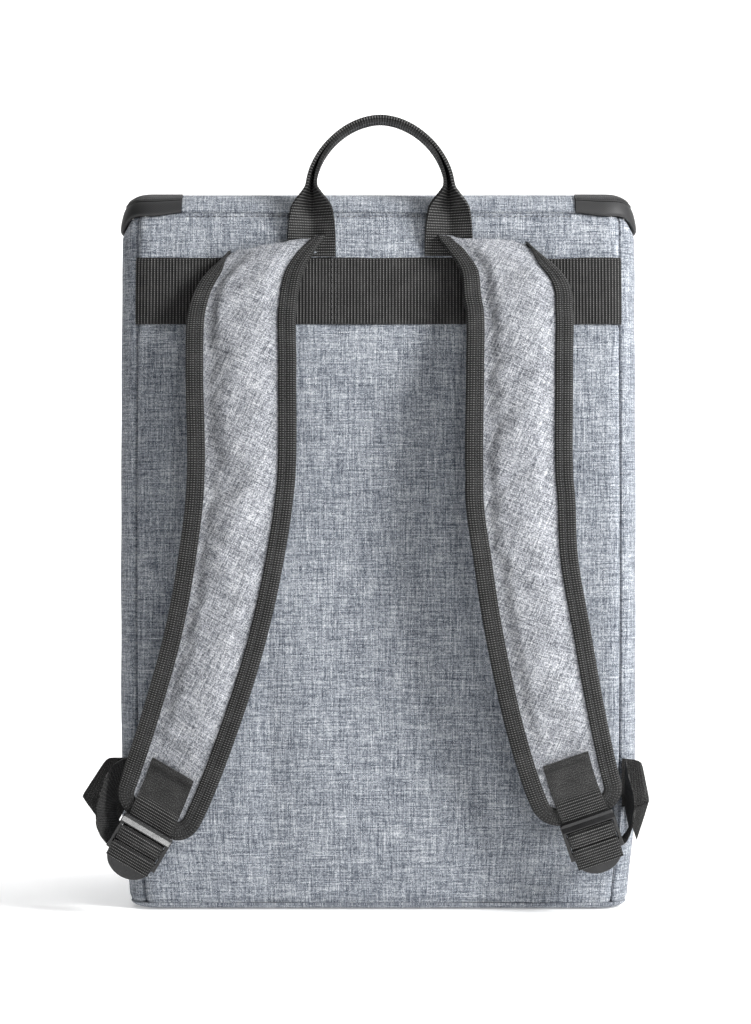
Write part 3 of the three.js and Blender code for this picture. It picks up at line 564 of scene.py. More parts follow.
def joined(name, pieces):
    """Several mesh objects as one."""
    work = bmesh.new()
    finishes = []
    for piece in pieces:
        mesh = piece.data
        start = len(work.faces)
        work.from_mesh(mesh)
        work.faces.ensure_lookup_table()
        for face in list(work.faces)[start:]:
            face.material_index += len(finishes)
        finishes += list(mesh.materials)
        bpy.data.objects.remove(piece)
    whole = bpy.data.meshes.new(name)
    work.to_mesh(whole)
    work.free()
    for finish in finishes:
        whole.materials.append(finish)
    result = bpy.data.objects.new(name, whole)
    scene.collection.objects.link(result)
    return result


def plain_mesh(piece):
    """The evaluated result as a mesh object of its own, with the modifiers gone."""
    name = piece.name
    seen = piece.evaluated_get(bpy.context.evaluated_depsgraph_get())
    mesh = bpy.data.meshes.new_from_object(seen)
    result = bpy.data.objects.new(name, mesh)
    bpy.data.objects.remove(piece)
    result.name = name
    scene.collection.objects.link(result)
    return result


def placed(piece, finish, slot, *nodes):
    """Gives a piece its finish, lets it ride on the body and stand for its CAD nodes."""
    if finish is not None:
        piece.data.materials.clear()
        piece.data.materials.append(finish)
    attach(piece, BODY)
    if nodes:
        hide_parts(*nodes)
    return piece


# Repeats in Geometry Nodes


def open_tree(name, inputs):
    """A Geometry Nodes tree with named inputs, and wires to them."""
    tree = bpy.data.node_groups.new(name, "GeometryNodeTree")
    tree.interface.new_socket(name="Geometry", in_out="INPUT", socket_type="NodeSocketGeometry")
    sockets = {}
    for label, kind, value in inputs:
        socket = tree.interface.new_socket(name=label, in_out="INPUT", socket_type=kind)
        if value is not None:
            socket.default_value = value
        sockets[label] = socket.identifier
    tree.interface.new_socket(name="Geometry", in_out="OUTPUT", socket_type="NodeSocketGeometry")
    start = tree.nodes.new("NodeGroupInput")
    wires = {"Geometry": Wire(tree, start.outputs[0])}
    for place, (label, _, _) in enumerate(inputs):
        wires[label] = Wire(tree, start.outputs[place + 1])
    return tree, wires, sockets


def close_tree(geometry, finish):
    """Ends a tree with real geometry in its finish."""
    real = geometry.node("GeometryNodeRealizeInstances", values={"Geometry": geometry})
    painted = real.node("GeometryNodeSetMaterial", values={"Geometry": real, "Material": finish})
    real.node("NodeGroupOutput", values={"Geometry": painted})


def stitch_tree():
    """Rounded stitches or teeth along the paths of a mesh of edges, each lying on its surface."""
    tree, wires, sockets = open_tree("stitches_along_path", (
        ("Spacing", "NodeSocketFloat", 0.003), ("Length", "NodeSocketFloat", 0.002),
        ("Radius", "NodeSocketFloat", 0.0003), ("Across", "NodeSocketFloat", 0.0),
        ("Wobble", "NodeSocketFloat", 0.05), ("Seed", "NodeSocketInt", 7),
        ("Thread", "NodeSocketMaterial", None),
    ))
    begin = wires["Geometry"]
    path = begin.node("GeometryNodeMeshToCurve", values={0: begin})
    points = path.node("GeometryNodeResampleCurve", {"mode": "LENGTH"}, {
        "Curve": path, "Length": wires["Spacing"]})
    out = begin.node("GeometryNodeInputNamedAttribute", {"data_type": "FLOAT_VECTOR"}, {"Name": "out"})
    tangent = begin.node("GeometryNodeInputTangent")
    basis = begin.node("FunctionNodeAxesToRotation", {"primary_axis": "Z", "secondary_axis": "X"}, {
        0: out, 1: tangent})
    slant = begin.node("FunctionNodeRandomValue", {"data_type": "FLOAT"}, {
        2: wires["Wobble"] * -1, 3: wires["Wobble"], 8: wires["Seed"]}, out=1)
    swing = begin.node("ShaderNodeCombineXYZ", values={2: slant + wires["Across"]})
    turn = begin.node("FunctionNodeEulerToRotation", values={0: swing})
    spin = begin.node("FunctionNodeRotateRotation", {"rotation_space": "LOCAL"}, {0: basis, 1: turn})
    bead = begin.node("GeometryNodeMeshUVSphere", values={"Segments": 6, "Rings": 5, "Radius": 1.0})
    size = begin.node("ShaderNodeCombineXYZ", values={
        0: wires["Length"] / 2, 1: wires["Radius"], 2: wires["Radius"]})
    beads = points.node("GeometryNodeInstanceOnPoints", values={
        "Points": points, "Instance": bead, "Rotation": spin, "Scale": size})
    smooth_beads = beads.node("GeometryNodeSetShadeSmooth", values={"Geometry": beads})
    close_tree(smooth_beads, wires["Thread"])
    return tree, sockets


def rib_tree():
    """Raises ribs on a surface at every pitch of its run trait, where its rib trait allows."""
    tree, wires, sockets = open_tree("woven_ribs", (
        ("Pitch", "NodeSocketFloat", 0.002), ("Depth", "NodeSocketFloat", 0.0003),
        ("Webbing", "NodeSocketMaterial", None),
    ))
    begin = wires["Geometry"]
    run = begin.node("GeometryNodeInputNamedAttribute", {"data_type": "FLOAT"}, {"Name": "run"})
    rib = begin.node("GeometryNodeInputNamedAttribute", {"data_type": "FLOAT"}, {"Name": "rib"})
    phase = run * (2 * np.pi) / wires["Pitch"]
    crown = (phase.math("COSINE", phase) * 0.5 + 0.5) * rib * wires["Depth"]
    normal = begin.node("GeometryNodeInputNormal")
    lift = begin.node("ShaderNodeVectorMath", {"operation": "SCALE"}, {0: normal, "Scale": crown})
    raised = begin.node("GeometryNodeSetPosition", values={"Geometry": begin, "Offset": lift})
    close_tree(raised, wires["Webbing"])
    return tree, sockets


stitch_group, stitch_inputs = stitch_tree()
rib_group, rib_inputs = rib_tree()


def run_tree(piece, tree, identifiers, values):
    """Runs a tree on a piece with its inputs set by identifier, and keeps the plain mesh."""
    modifier = piece.modifiers.new("shape", "NODES")
    modifier.node_group = tree
    for label, value in values.items():
        modifier[identifiers[label]] = value
    return plain_mesh(piece)


def ribbed(piece, webbing, pitch, depth):
    """Webbing with its ribs raised."""
    return run_tree(piece, rib_group, rib_inputs, {"Pitch": pitch, "Depth": depth, "Webbing": webbing})


def sewn(name, paths, thread, spacing, length, radius, across=0.0, wobble=0.05):
    """Stitches along paths, each a pair of point and outward rows."""
    points = np.concatenate([path for path, _ in paths])
    outs = np.concatenate([out for _, out in paths])
    edges = []
    start = 0
    for path, _ in paths:
        edges += [(start + i, start + i + 1) for i in range(len(path) - 1)]
        start += len(path)
    mesh = bpy.data.meshes.new(name)
    mesh.from_pydata(points.tolist(), edges, [])
    layer = mesh.attributes.new("out", "FLOAT_VECTOR", "POINT")
    layer.data.foreach_set("vector", unit(outs).ravel())
    row = bpy.data.objects.new(name, mesh)
    scene.collection.objects.link(row)
    values = {
        "Spacing": spacing, "Length": length, "Radius": radius, "Across": across,
        "Wobble": wobble, "Seed": 7, "Thread": thread,
    }
    return run_tree(row, stitch_group, stitch_inputs, values)


# Plan of the body: columns that are shares of the straight sides and the way they face


class Plan:
    def __init__(self, share_x, share_y, turn):
        self.share_x = np.asarray(share_x, float)
        self.share_y = np.asarray(share_y, float)
        self.turn = np.asarray(turn, float)
        self.out_x = np.sin(np.radians(self.turn))
        self.out_y = -np.cos(np.radians(self.turn))

    def __add__(self, other):
        return Plan(
            np.concatenate([self.share_x, other.share_x]),
            np.concatenate([self.share_y, other.share_y]),
            np.concatenate([self.turn, other.turn]),
        )

    def run(self):
        """Length round the body at each column."""
        x = self.share_x * straight_half_width + self.out_x * corner_radius
        y = self.share_y * straight_half_depth + self.out_y * corner_radius
        return lengths_along(np.stack([x, y], -1))


def side_plan(turn, shares):
    """Columns along one straight side of the body."""
    shares = np.asarray(shares, float)
    out_x, out_y = np.sin(np.radians(turn)), -np.cos(np.radians(turn))
    return Plan(out_x - out_y * shares, out_y + out_x * shares, np.full(len(shares), float(turn)))


def corner_plan(start, end, steps, seam=None):
    """Columns round a corner, gathered at a seam at its first or last one."""
    corner = int((start + end) // 180) % 4
    share_x = 1 if corner in (0, 1) else -1
    share_y = 1 if corner in (1, 2) else -1
    shares = np.linspace(0, 1, steps + 1)
    if seam == "first":
        shares = shares ** 2.4
    if seam == "last":
        shares = 1 - (1 - shares) ** 2.4
    return Plan(np.full(steps + 1, share_x), np.full(steps + 1, share_y), mixed(start, end, shares))


def swell(z):
    """How far the walls stand out between base and top."""
    return side_bulge * np.sin(np.pi * z / body_height) - base_taper * (1 - smooth(z, 0, taper_height))


def body_point(plan, z, inset):
    """Points of the wall at heights z, moved in by an inset."""
    reach = corner_radius - inset
    x = plan.share_x * (straight_half_width + swell(z)) + plan.out_x * reach
    y = plan.share_y * (straight_half_depth + swell(z)) + plan.out_y * reach
    return np.stack(np.broadcast_arrays(x, y, z), -1)


relief_levels = [band_bottom - 2 * puff_reach, band_bottom, band_top, band_top + puff_reach, hinge_seam]
relief_lifts = [0, -band_seat, -band_seat, puff_height, 0]


def relief(z):
    return np.interp(z, relief_levels, relief_lifts)


def panel_face(z):
    return -(body_depth / 2 + swell(z) + relief(z))


def roll_drop(plan):
    """Height of the rolled top edge at each column."""
    backness = np.minimum(plan.turn % 360, 360 - plan.turn % 360)
    x = np.abs(plan.share_x) * straight_half_width
    hinge = mixed(roll_drop_hinge, roll_drop_corner, smooth(x, hinge_width / 2, straight_half_width))
    side = mixed(roll_drop_corner, roll_drop_side, smooth(backness, 30, 85))
    return np.where(backness > 0, side, hinge)


def wall_top(plan):
    return body_height - roll_drop(plan)


def roll_point(plan, share, lift):
    """The rolled top edge: share 0 at the wall, 1 at the flat of the lid."""
    turn = share * np.pi / 2
    drop = roll_drop(plan)
    z = wall_top(plan) + drop * np.sin(turn)
    point = body_point(plan, z, roll_inset * (1 - np.cos(turn)) - lift * np.cos(turn))
    point[..., 2] += lift * np.sin(turn)
    return point


def roll_out(plan, share):
    """The way that the rolled top edge faces."""
    return unit(roll_point(plan, share, 0.001) - roll_point(plan, share, 0.0))


# Walls of padded cloth


def wall_piece(name, plan, relief_of, seed):
    """A padded wall between two upright seams: its edges roll into the seams and its middle is slack."""
    top = wall_top(plan) - gap
    low = base_seam_height + gap
    rises = graded(low, body_height, coarse=0.0032, fine=0.0008, margin=0.005)
    rises = (rises - low) / (body_height - low)
    z = low + (top - low)[None, :] * rises[:, None]
    run = plan.run()
    flat = body_point(plan, z, 0)
    from_side = np.minimum(run, run[-1] - run)[None, :]
    from_low = z - low
    from_top = top[None, :] - z
    roll = 0.0012 * (1 - smooth(from_side, 0, 0.0040)) + 0.0030 * (1 - smooth(from_side, 0, 0.0008))
    roll = roll + 0.0012 * (1 - smooth(from_low, 0, 0.004))
    roll = roll + 0.0014 * (1 - smooth(from_top, 0, 0.003))
    inside = smooth(from_side, 0, 0.03) * smooth(from_low, 0, 0.03) * smooth(from_top, 0, 0.03)
    slack = rumple(run[None, :], z, seed) * inside
    lift = relief_of(flat[..., 0], z) - roll + slack
    front = body_point(plan, z, -lift)
    back = body_point(plan, z, wall_thickness)
    cloth = np.stack(np.broadcast_arrays(run[None, :], z), -1)
    piece = shell(name, front, back, cloth)
    softly_lit(piece)
    return piece


def harness_relief(x, z):
    """Pulled in under the band, puffed over it, with two soft creases low down."""
    soft_levels = [
        0, band_bottom - 0.016, band_bottom - 0.007, band_bottom - 0.0015, band_bottom + 0.001,
        band_top - 0.0025, band_top - 0.0008, band_top + 0.0012, band_top + 0.006, hinge_seam,
    ]
    soft_lifts = [0, 0, 0.0003, 0.0000, -0.0014, -0.0014, -0.0004, 0.0012, 0.0013, 0.0003]
    lift = np.interp(z, soft_levels, soft_lifts)
    from_crease = np.abs(x - crease_middle) - crease_offset
    crease = np.exp(-((from_crease / 0.0035) ** 2))
    crease_wide = np.exp(-((from_crease / 0.014) ** 2))
    fade = 1 - smooth(z, crease_top * 0.75, crease_top * 1.1)
    lift = lift - (0.0007 * crease + 0.0012 * crease_wide) * fade
    puffed = smooth(z, band_top - 0.0005, band_top + 0.002)
    puffed = puffed * (1 - smooth(z, band_top + 0.004, band_top + 0.016))
    lift = lift + puffed * rumple(x, z * 0.25, 61, 0.011, 0.0006)
    tucked = smooth(z, band_bottom - 0.014, band_bottom - 0.004)
    tucked = tucked * (1 - smooth(z, band_bottom - 0.003, band_bottom))
    lift = lift + tucked * rumple(x, z * 0.25, 62, 0.013, 0.0004)
    belly = 0.0006 * np.sin(np.pi * np.clip(z / band_bottom, 0, 1)) * np.cos(np.pi * x / body_width)
    return lift + belly


def no_relief(x, z):
    return np.zeros(np.broadcast(x, z).shape)


seam_turn_gap = np.degrees(gap / 2 / corner_radius)
back_plan = (
    corner_plan(360 - panel_seam_turn + seam_turn_gap, 359.5, 14, "first")
    + side_plan(0, np.linspace(-1, 1, 97))
    + corner_plan(0.5, panel_seam_turn - seam_turn_gap, 14, "last")
)
back_wall = wall_piece("back_panel_cloth", back_plan, harness_relief, 11)
placed(back_wall, shell_cloth, "shell_fabric", "back_panel")


def side_wall_plan(facing):
    """Columns of a side wall from the harness side's seam to the front's."""
    start = panel_seam_turn if facing == 90 else 180 + panel_seam_turn
    end = 180 - panel_seam_turn if facing == 90 else 360 - panel_seam_turn
    return (
        corner_plan(start + seam_turn_gap, facing - 0.5, 22, "first")
        + side_plan(facing, np.linspace(-1, 1, 40))
        + corner_plan(facing + 0.5, end - seam_turn_gap, 22, "last")
    )


for side, facing, seed in (("right", 90, 21), ("left", 270, 22)):
    wall = wall_piece(f"side_panel_{side}_cloth", side_wall_plan(facing), no_relief, seed)
    placed(wall, shell_cloth, "shell_fabric", f"side_panel_{side}")

front_plan = (
    corner_plan(180 - panel_seam_turn + seam_turn_gap, 179.5, 14, "first")
    + side_plan(180, np.linspace(-1, 1, 90))
    + corner_plan(180.5, 180 + panel_seam_turn - seam_turn_gap, 14, "last")
)
front_wall = wall_piece("front_panel_cloth", front_plan, no_relief, 31)
placed(front_wall, shell_cloth, "shell_fabric", "front_panel")


def whole_plan(straight, corner):
    """Columns all the way round the body."""
    plan = None
    for turn in (0, 90, 180, 270):
        part = side_plan(turn, np.linspace(-1, 1, straight)) + corner_plan(turn + 3, turn + 87, corner)
        plan = part if plan is None else plan + part
    return plan


def rings_body(name, rings, middle_low, middle_high):
    """A closed body through rings, with its first and last ring closed by a fan."""
    rows, columns = rings.shape[:2]
    points = np.concatenate([rings.reshape(-1, 3), [middle_low, middle_high]])
    faces = grid_faces(rows, columns, round_columns=True)
    last = (rows - 1) * columns
    for i in range(columns):
        after = (i + 1) % columns
        faces.append((after, i, rows * columns))
        faces.append((last + i, last + after, rows * columns + 1))
    return turned_out(make_piece(name, points, faces, points[:, :2]))


base_plan = whole_plan(30, 8)
base_profile = [
    (0.0000, base_rounding), (0.0003, base_rounding * 0.74), (0.0008, base_rounding * 0.52),
    (0.0015, base_rounding * 0.32), (0.0024, base_rounding * 0.16), (0.0034, base_rounding * 0.07),
    (base_seam_height, base_rounding * 0.10), (base_seam_height, wall_thickness + gap),
    (base_seam_height + base_plug_height, wall_thickness + gap + 0.001),
]
base_rings = [body_point(base_plan, np.full(len(base_plan.turn), z), inset) for z, inset in base_profile]
for share in (0.85, 0.5, 0.2):
    ring = base_rings[-1].copy()
    ring[:, :2] *= share
    base_rings.append(ring)
for share in (0.93, 0.6, 0.25):
    ring = body_point(base_plan, np.full(len(base_plan.turn), 0.0), base_rounding)
    ring[:, :2] *= share
    base_rings.insert(0, ring)
base = rings_body(
    "base_panel_cloth", np.stack(base_rings), (0, 0, 0), (0, 0, base_seam_height + base_plug_height))
softly_lit(base)
placed(base, shell_cloth, "shell_fabric", "base_panel")

# Lid slab and the strip that rolls down to the harness panel as its hinge

lid_plan = whole_plan(40, 10)
lid_count = len(lid_plan.turn)
slab_edge = roll_inset + gap
slab_profile = [
    (body_height - lid_thickness, slab_edge), (body_height - 0.0008, slab_edge),
    (body_height + 0.0002, slab_edge + 0.0006),
]
slab_rings = [body_point(lid_plan, np.full(lid_count, z), inset) for z, inset in slab_profile]

# Rings over the lid: share of the way out from its middle, and share of the crown
crown_rings = (
    (0.99, 0.22), (0.96, 0.45), (0.9, 0.66), (0.8, 0.82), (0.65, 0.93), (0.45, 0.99), (0.22, 1.0),
)
for share, rise in crown_rings:
    ring = body_point(lid_plan, np.full(lid_count, body_height), slab_edge)
    ring[:, :2] *= share
    ring[:, 2] = body_height + lid_crown * rise + rumple(ring[:, 0], ring[:, 1], 41) * (1 - share)
    slab_rings.append(ring)
low_ring = slab_rings[0].copy()
low_ring[:, :2] *= 0.5
slab_rings.insert(0, low_ring)
slab = rings_body(
    "lid_slab", np.stack(slab_rings), (0, 0, body_height - lid_thickness), (0, 0, body_height + lid_crown))
softly_lit(slab)

hinge_plan = side_plan(0, np.linspace(-1, 1, 90) * hinge_width / 2 / straight_half_width)
hinge_shares = graded(0, 1, 0.05, 0.012, 0.05)
hinge_run = hinge_plan.run()
hinge_soft = np.minimum(smooth(hinge_run, 0, 0.002), smooth(hinge_run[-1] - hinge_run, 0, 0.002))
hinge_front = []
hinge_back = []
for share in hinge_shares:
    puff = 0.0006 * np.sin(np.pi * share) ** 0.5 - 0.0010 * (1 - smooth(share, 0, 0.08)) - 0.0006
    lift = puff + rumple(hinge_run, share * 0.02, 43, 0.03, 0.00012) + 0.0006 * hinge_soft
    hinge_front.append(roll_point(hinge_plan, share, lift))
    hinge_back.append(roll_point(hinge_plan, share, -hinge_skin))
hinge_rise = hinge_seam + hinge_shares[:, None] * hinge_roll_length
hinge_cloth = np.stack(np.broadcast_arrays(hinge_run[None, :], hinge_rise), -1)
hinge = shell("lid_hinge", np.stack(hinge_front), np.stack(hinge_back), hinge_cloth)
softly_lit(hinge)
placed(joined("lid_panel_cloth", [slab, hinge]), shell_cloth, "shell_fabric", "lid_panel")

# Zip round the top edge

zip_start = (hinge_width / 2 + gap) / straight_half_width


def zip_plan(fine):
    """Columns round the top edge from one end of the hinge to the other, about this far apart."""
    straight = int(round(2 * straight_half_width / fine, 3))
    deep = int(round(2 * straight_half_depth / fine, 3))
    bend = int(corner_radius * np.pi / 2 / fine)
    near = int((1 - zip_start) * straight_half_width / fine)
    plan = side_plan(0, np.linspace(zip_start, 1, near + 1))
    for turn, count in ((0, None), (90, deep), (180, straight), (270, deep)):
        if count:
            plan = plan + side_plan(turn, np.linspace(-1, 1, count + 1))
        plan = plan + corner_plan(turn + 90 / bend, turn + 90 - 90 / bend, bend - 2)
    return plan + side_plan(0, np.linspace(-1, -zip_start, near + 1))


tape_plan = zip_plan(0.004)
tape_run = tape_plan.run()


def zip_strip(name, shares, front_lift, back_lift):
    """A strip of the rolled top edge all the way round the zip."""
    front = np.stack([roll_point(tape_plan, share, lift) for share, lift in zip(shares, front_lift)])
    back = np.stack([roll_point(tape_plan, share, back_lift) for share in shares])
    cloth = np.stack(np.broadcast_arrays(tape_run[None, :], shares[:, None] * side_roll_length), -1)
    piece = shell(name, front, back, cloth)
    softly_lit(piece)
    return piece


coil_low = coil_share - coil_half_share
coil_high = coil_share + coil_half_share
coil_gap_share = gap / roll_inset
tape_edge_drop = 0.0008
tape_swell = 0.0002
lower_shares = np.linspace(0, coil_low - coil_gap_share, 12)
lower_lift = tape_proud - tape_edge_drop * (1 - smooth(lower_shares, 0, 0.05))
lower_lift = lower_lift + tape_swell * smooth(lower_shares, 0.2, 0.4)
placed(zip_strip("zip_tape_lower_cloth", lower_shares, lower_lift, tape_proud - tape_thickness),
       zip_tape, "zip_tape", "zip_tape_lower")
upper_shares = np.linspace(coil_high + coil_gap_share, 1, 12)
upper_lift = tape_proud + tape_swell * (1 - smooth(upper_shares, 0.70, 0.80))
upper_lift = upper_lift - tape_edge_drop * smooth(upper_shares, 0.95, 1)
placed(zip_strip("zip_tape_upper_cloth", upper_shares, upper_lift, tape_proud - tape_thickness),
       zip_tape, "zip_tape", "zip_tape_upper")
coil_shares = np.linspace(coil_low, coil_high, 7)
coil_lift = tape_proud + tape_swell + 0.0003 * np.cos(np.linspace(-1, 1, 7) * np.pi / 2)
coil_base = zip_strip("zip_coil_base", coil_shares, coil_lift, tape_proud - tape_thickness)
coil_base.data.materials.append(zip_tape)
fine_plan = zip_plan(0.002)
tooth_lean = 0.28
tooth_rows = []
for edge in (-1, 1):
    share = coil_share + edge * coil_half_share * 0.36
    path = roll_point(fine_plan, share, tape_proud + coil_proud * 0.4)
    tooth_rows.append(sewn(
        f"zip_teeth_{len(tooth_rows)}", [(path, roll_out(fine_plan, share))], zip_teeth,
        spacing=0.0013, length=0.0024, radius=0.00034, across=np.pi / 2 - edge * tooth_lean, wobble=0.03))
placed(joined("zip_coil_teeth", [coil_base, *tooth_rows]), None, "zip_coil", "zip_coil")


# Carry handle: webbing that folds along its middle where it leaves its tabs


def handle_spine():
    """Middle line of the handle with the share by which the webbing is folded, for each row."""
    foot = band_top + gap
    legs = [
        (foot, 0.02), (band_top + puff_reach, 0.06), (0.404, 0.13), (0.414, 0.27), (0.421, 0.40),
        (0.425, 0.57), (0.429, 0.77), (pinch_height, 0.92),
    ]
    power = 2 / handle_roundness
    rise = handle_rise - (pinch_height - body_height)
    rows = [(-handle_span / 2, z, fold) for z, fold in legs]
    for angle in np.linspace(0, np.pi, 33)[1:-1]:
        x = -np.sign(np.cos(angle)) * abs(np.cos(angle)) ** power * handle_span / 2
        fold = mixed(0.94, 1, smooth(np.sin(angle), 0, 0.8))
        rows.append((x, pinch_height + np.sin(angle) ** power * rise, fold))
    rows += [(handle_span / 2, z, fold) for z, fold in legs[::-1]]
    return np.array(rows)


handle_rows = handle_spine()
handle_knots = np.stack([handle_rows[:, 0] + handle_shift, 0 * handle_rows[:, 0], handle_rows[:, 1]], -1)
handle_marks = lengths_along(handle_knots)
handle_run = np.arange(0, handle_marks[-1], webbing_pitch / rib_steps)
handle_x = np.interp(handle_run, handle_marks, handle_knots[:, 0])
handle_z = np.interp(handle_run, handle_marks, handle_knots[:, 2])
handle_fold = np.interp(handle_run, handle_marks, handle_rows[:, 2])
blur = np.ones(9) / 9
handle_fold = np.convolve(np.pad(handle_fold, 4, "edge"), blur, "valid")
handle_x = np.convolve(np.pad(handle_x, 4, "edge"), blur, "valid")
handle_z = np.convolve(np.pad(handle_z, 4, "edge"), blur, "valid")
handle_slope = unit(np.stack([np.gradient(handle_x), np.gradient(handle_z)], -1))
handle_across = np.stack([handle_slope[:, 1], np.zeros(len(handle_run)), -handle_slope[:, 0]], -1)
handle_front = np.minimum(panel_face(np.minimum(handle_z, hinge_seam)), -body_depth / 2)
handle_front = handle_front - gap - handle_thickness / 2
strip_shares = np.linspace(-1, 1, 15)
half_strip = handle_width / 2
fold_turn = handle_fold * np.radians(90)
handle_sides = {}
for face in (1, -1):
    skin = face * handle_thickness / 2
    lateral = []
    forward = []
    for share in strip_shares:
        bend = smooth(abs(share), 0, 0.22)
        turn = fold_turn * bend * np.sign(share)
        reach = half_strip * share
        rounding = handle_fold_rounding * handle_fold * bend * np.sign(share)
        lateral.append(reach * np.cos(fold_turn * bend) + rounding - skin * np.sin(turn))
        forward.append(abs(reach) * np.sin(fold_turn * bend) + skin * np.cos(turn))
    lateral = np.stack(lateral, 1)
    forward = np.stack(forward, 1)
    middle = np.stack([handle_x, handle_front, handle_z], -1)[:, None, :]
    spot = middle + handle_across[:, None, :] * lateral[..., None]
    spot[..., 1] -= forward
    handle_sides[face] = spot
handle_cloth = np.stack(np.broadcast_arrays(strip_shares[None, :] * half_strip, handle_run[:, None]), -1)
handle = shell("grab_handle_webbing", handle_sides[1], handle_sides[-1], handle_cloth,
               back_rib=1, run=handle_run[:, None], rib=1.0)
handle = ribbed(handle, strap_webbing, webbing_pitch, rib_depth)
softly_lit(handle)
placed(handle, None, "webbing", "grab_handle")

# Webbing band across the panel

band_plan = (
    corner_plan(360 - panel_seam_turn + seam_turn_gap, 359.5, 32)
    + side_plan(0, np.linspace(-1, 1, int(2 * straight_half_width / band_pitch * rib_steps)))
    + corner_plan(0.5, panel_seam_turn - seam_turn_gap, 32)
)
band_run = band_plan.run()
band_levels = np.concatenate([
    [band_bottom, band_bottom + 0.0006],
    np.linspace(band_bottom + 0.002, band_top - 0.002, 12),
    [band_top - 0.0006, band_top],
])
band_lift = -band_seat + gap
band_soft = np.minimum(smooth(band_levels, band_bottom - 0.0008, band_bottom + 0.0016),
                       1 - smooth(band_levels, band_top - 0.0016, band_top + 0.0008))
band_wave = rumple(band_run[None, :], band_levels[:, None], 51, 0.05, 0.00015)
band_crown = band_lift + band_thickness - band_edge_drop * (1 - band_soft[:, None]) + band_wave
front = body_point(band_plan, band_levels[:, None], -band_crown)
back = body_point(band_plan, band_levels[:, None], -band_lift)
band_cloth = np.stack(np.broadcast_arrays(band_levels[:, None], band_run[None, :]), -1)
band = shell("back_webbing_band_woven", front, back, band_cloth, run=band_run[None, :],
             rib=np.minimum(1, band_soft * 1.2)[:, None])
band = ribbed(band, band_webbing, band_pitch, band_rib_depth)
softly_lit(band)
placed(band, None, "webbing", "back_webbing_band")


# Shoulder straps


class Strap:
    """The space of a strap: lengths down it, across it to its outer side, and off its back face."""

    def __init__(self, side):
        self.side = side
        self.hand = -1 if side == "left" else 1
        level, out, wide, rise, stand = np.array(strap_rows[side], float).T
        z = level * body_height
        self.spine = np.stack([self.hand * out * body_width / 2, panel_face(z) - stand * strap_stand, z], -1)
        self.traits = np.stack([wide, rise], -1)
        self.knots = np.linspace(0, 1, 201)
        self.marks = lengths_along(catmull(self.spine, self.knots))
        self.length = self.marks[-1]

    def frame(self, down):
        """Origin, outward, normal and half width at each length down."""
        down = np.atleast_1d(np.asarray(down, float))
        share = np.interp(np.clip(down, 0, self.length), self.marks, self.knots)
        origin = catmull(self.spine, share)
        traits = catmull(self.traits, share)
        rise = np.radians(traits[:, 1])
        outward = np.stack([self.hand * np.cos(rise), 0 * rise, np.sin(rise)], -1)
        ahead = catmull(self.spine, np.clip(share + 1e-4, 0, 1))
        behind = catmull(self.spine, np.clip(share - 1e-4, 0, 1))
        downward = unit(ahead - behind)
        normal = unit(np.cross(outward, downward))
        normal = np.where(normal[:, 1:2] > 0, -normal, normal)
        over = (down - np.clip(down, 0, self.length))[:, None]
        return origin + downward * over, outward, normal, traits[:, 0] * strap_width / 2

    def point(self, down, across, high):
        """Points for rows of lengths and grids of across and high."""
        origin, outward, normal, _ = self.frame(down)
        if across.ndim == 2:
            origin, outward, normal = origin[:, None], outward[:, None], normal[:, None]
        return origin + outward * across[..., None] + normal * high[..., None]

    def half(self, down, inset=0.0):
        """Half width with the rounded end, less an inset."""
        down = np.atleast_1d(np.asarray(down, float))
        half = self.frame(down)[3]
        past = down - (self.length - strap_end_radius)
        arc = np.sqrt(np.maximum((strap_end_radius - inset) ** 2 - past ** 2, 0))
        return np.where(past <= 0, half - inset, half - strap_end_radius + arc)

    def front(self, down, from_edge):
        """Front of the pad above its back face: flat rim, then a puffed middle."""
        thin = 1 - smooth(down, self.length - patch_run - 0.040, self.length - patch_run + 0.004)
        inside = smooth(from_edge, binding_width, binding_width + puff_ramp)
        puff = (pad_thickness - rim_thickness) * thin * inside
        root = smooth(down, -puff_ramp / 2, puff_ramp * 1.5)
        return mixed(strap_top_thickness, rim_thickness + puff, root)


def strap_plane(strap, points):
    """Cloth plane of a strap: straight across, and the length down it."""
    downs = np.linspace(-0.004, strap.length, 700)
    origin, outward, normal, _ = strap.frame(downs)
    facing = unit(np.cross(outward, normal))
    plane = np.empty((len(points), 2))
    for start in range(0, len(points), 4000):
        part = points[start:start + 4000]
        offset = np.einsum("pdk,dk->pd", part[:, None, :] - origin[None], facing)
        nearest = np.abs(offset).argmin(1)
        plane[start:start + 4000, 0] = part[:, 0]
        plane[start:start + 4000, 1] = -downs[nearest] + 0.3 * (part[:, 2] - origin[nearest, 2])
    return plane


def strap_pad(strap):
    """Foam pad in strap cloth, as cut: flat at its rim and puffed in its middle."""
    inset = rim_gap + binding_thickness
    bend_start = strap.length - strap_end_radius
    bend = np.sin(np.radians([0, 15, 30, 45, 60, 75, 84])) * (strap_end_radius - inset)
    downs = np.concatenate([
        [-0.0042, -0.0034, -0.0022], np.arange(-0.001, bend_start, 0.0025), bend_start + bend,
    ])
    half = strap.half(downs, inset)
    shares = np.linspace(-1, 1, 31)
    across = half[:, None] * shares[None, :]
    from_edge = half[:, None] - np.abs(across)
    high = strap.front(downs[:, None], from_edge)
    tuck = smooth(-downs, 0.0, 0.0042)[:, None]
    high = high * (1 - tuck) - (strap_stand * strap_rows[strap.side][0][4] + 0.0006) * tuck
    front = strap.point(downs, across, high)
    back = strap.point(downs, across, np.minimum(0 * high, high - 0.0008))
    return shell(f"shoulder_strap_{strap.side}_pad", front, back, np.zeros(2))


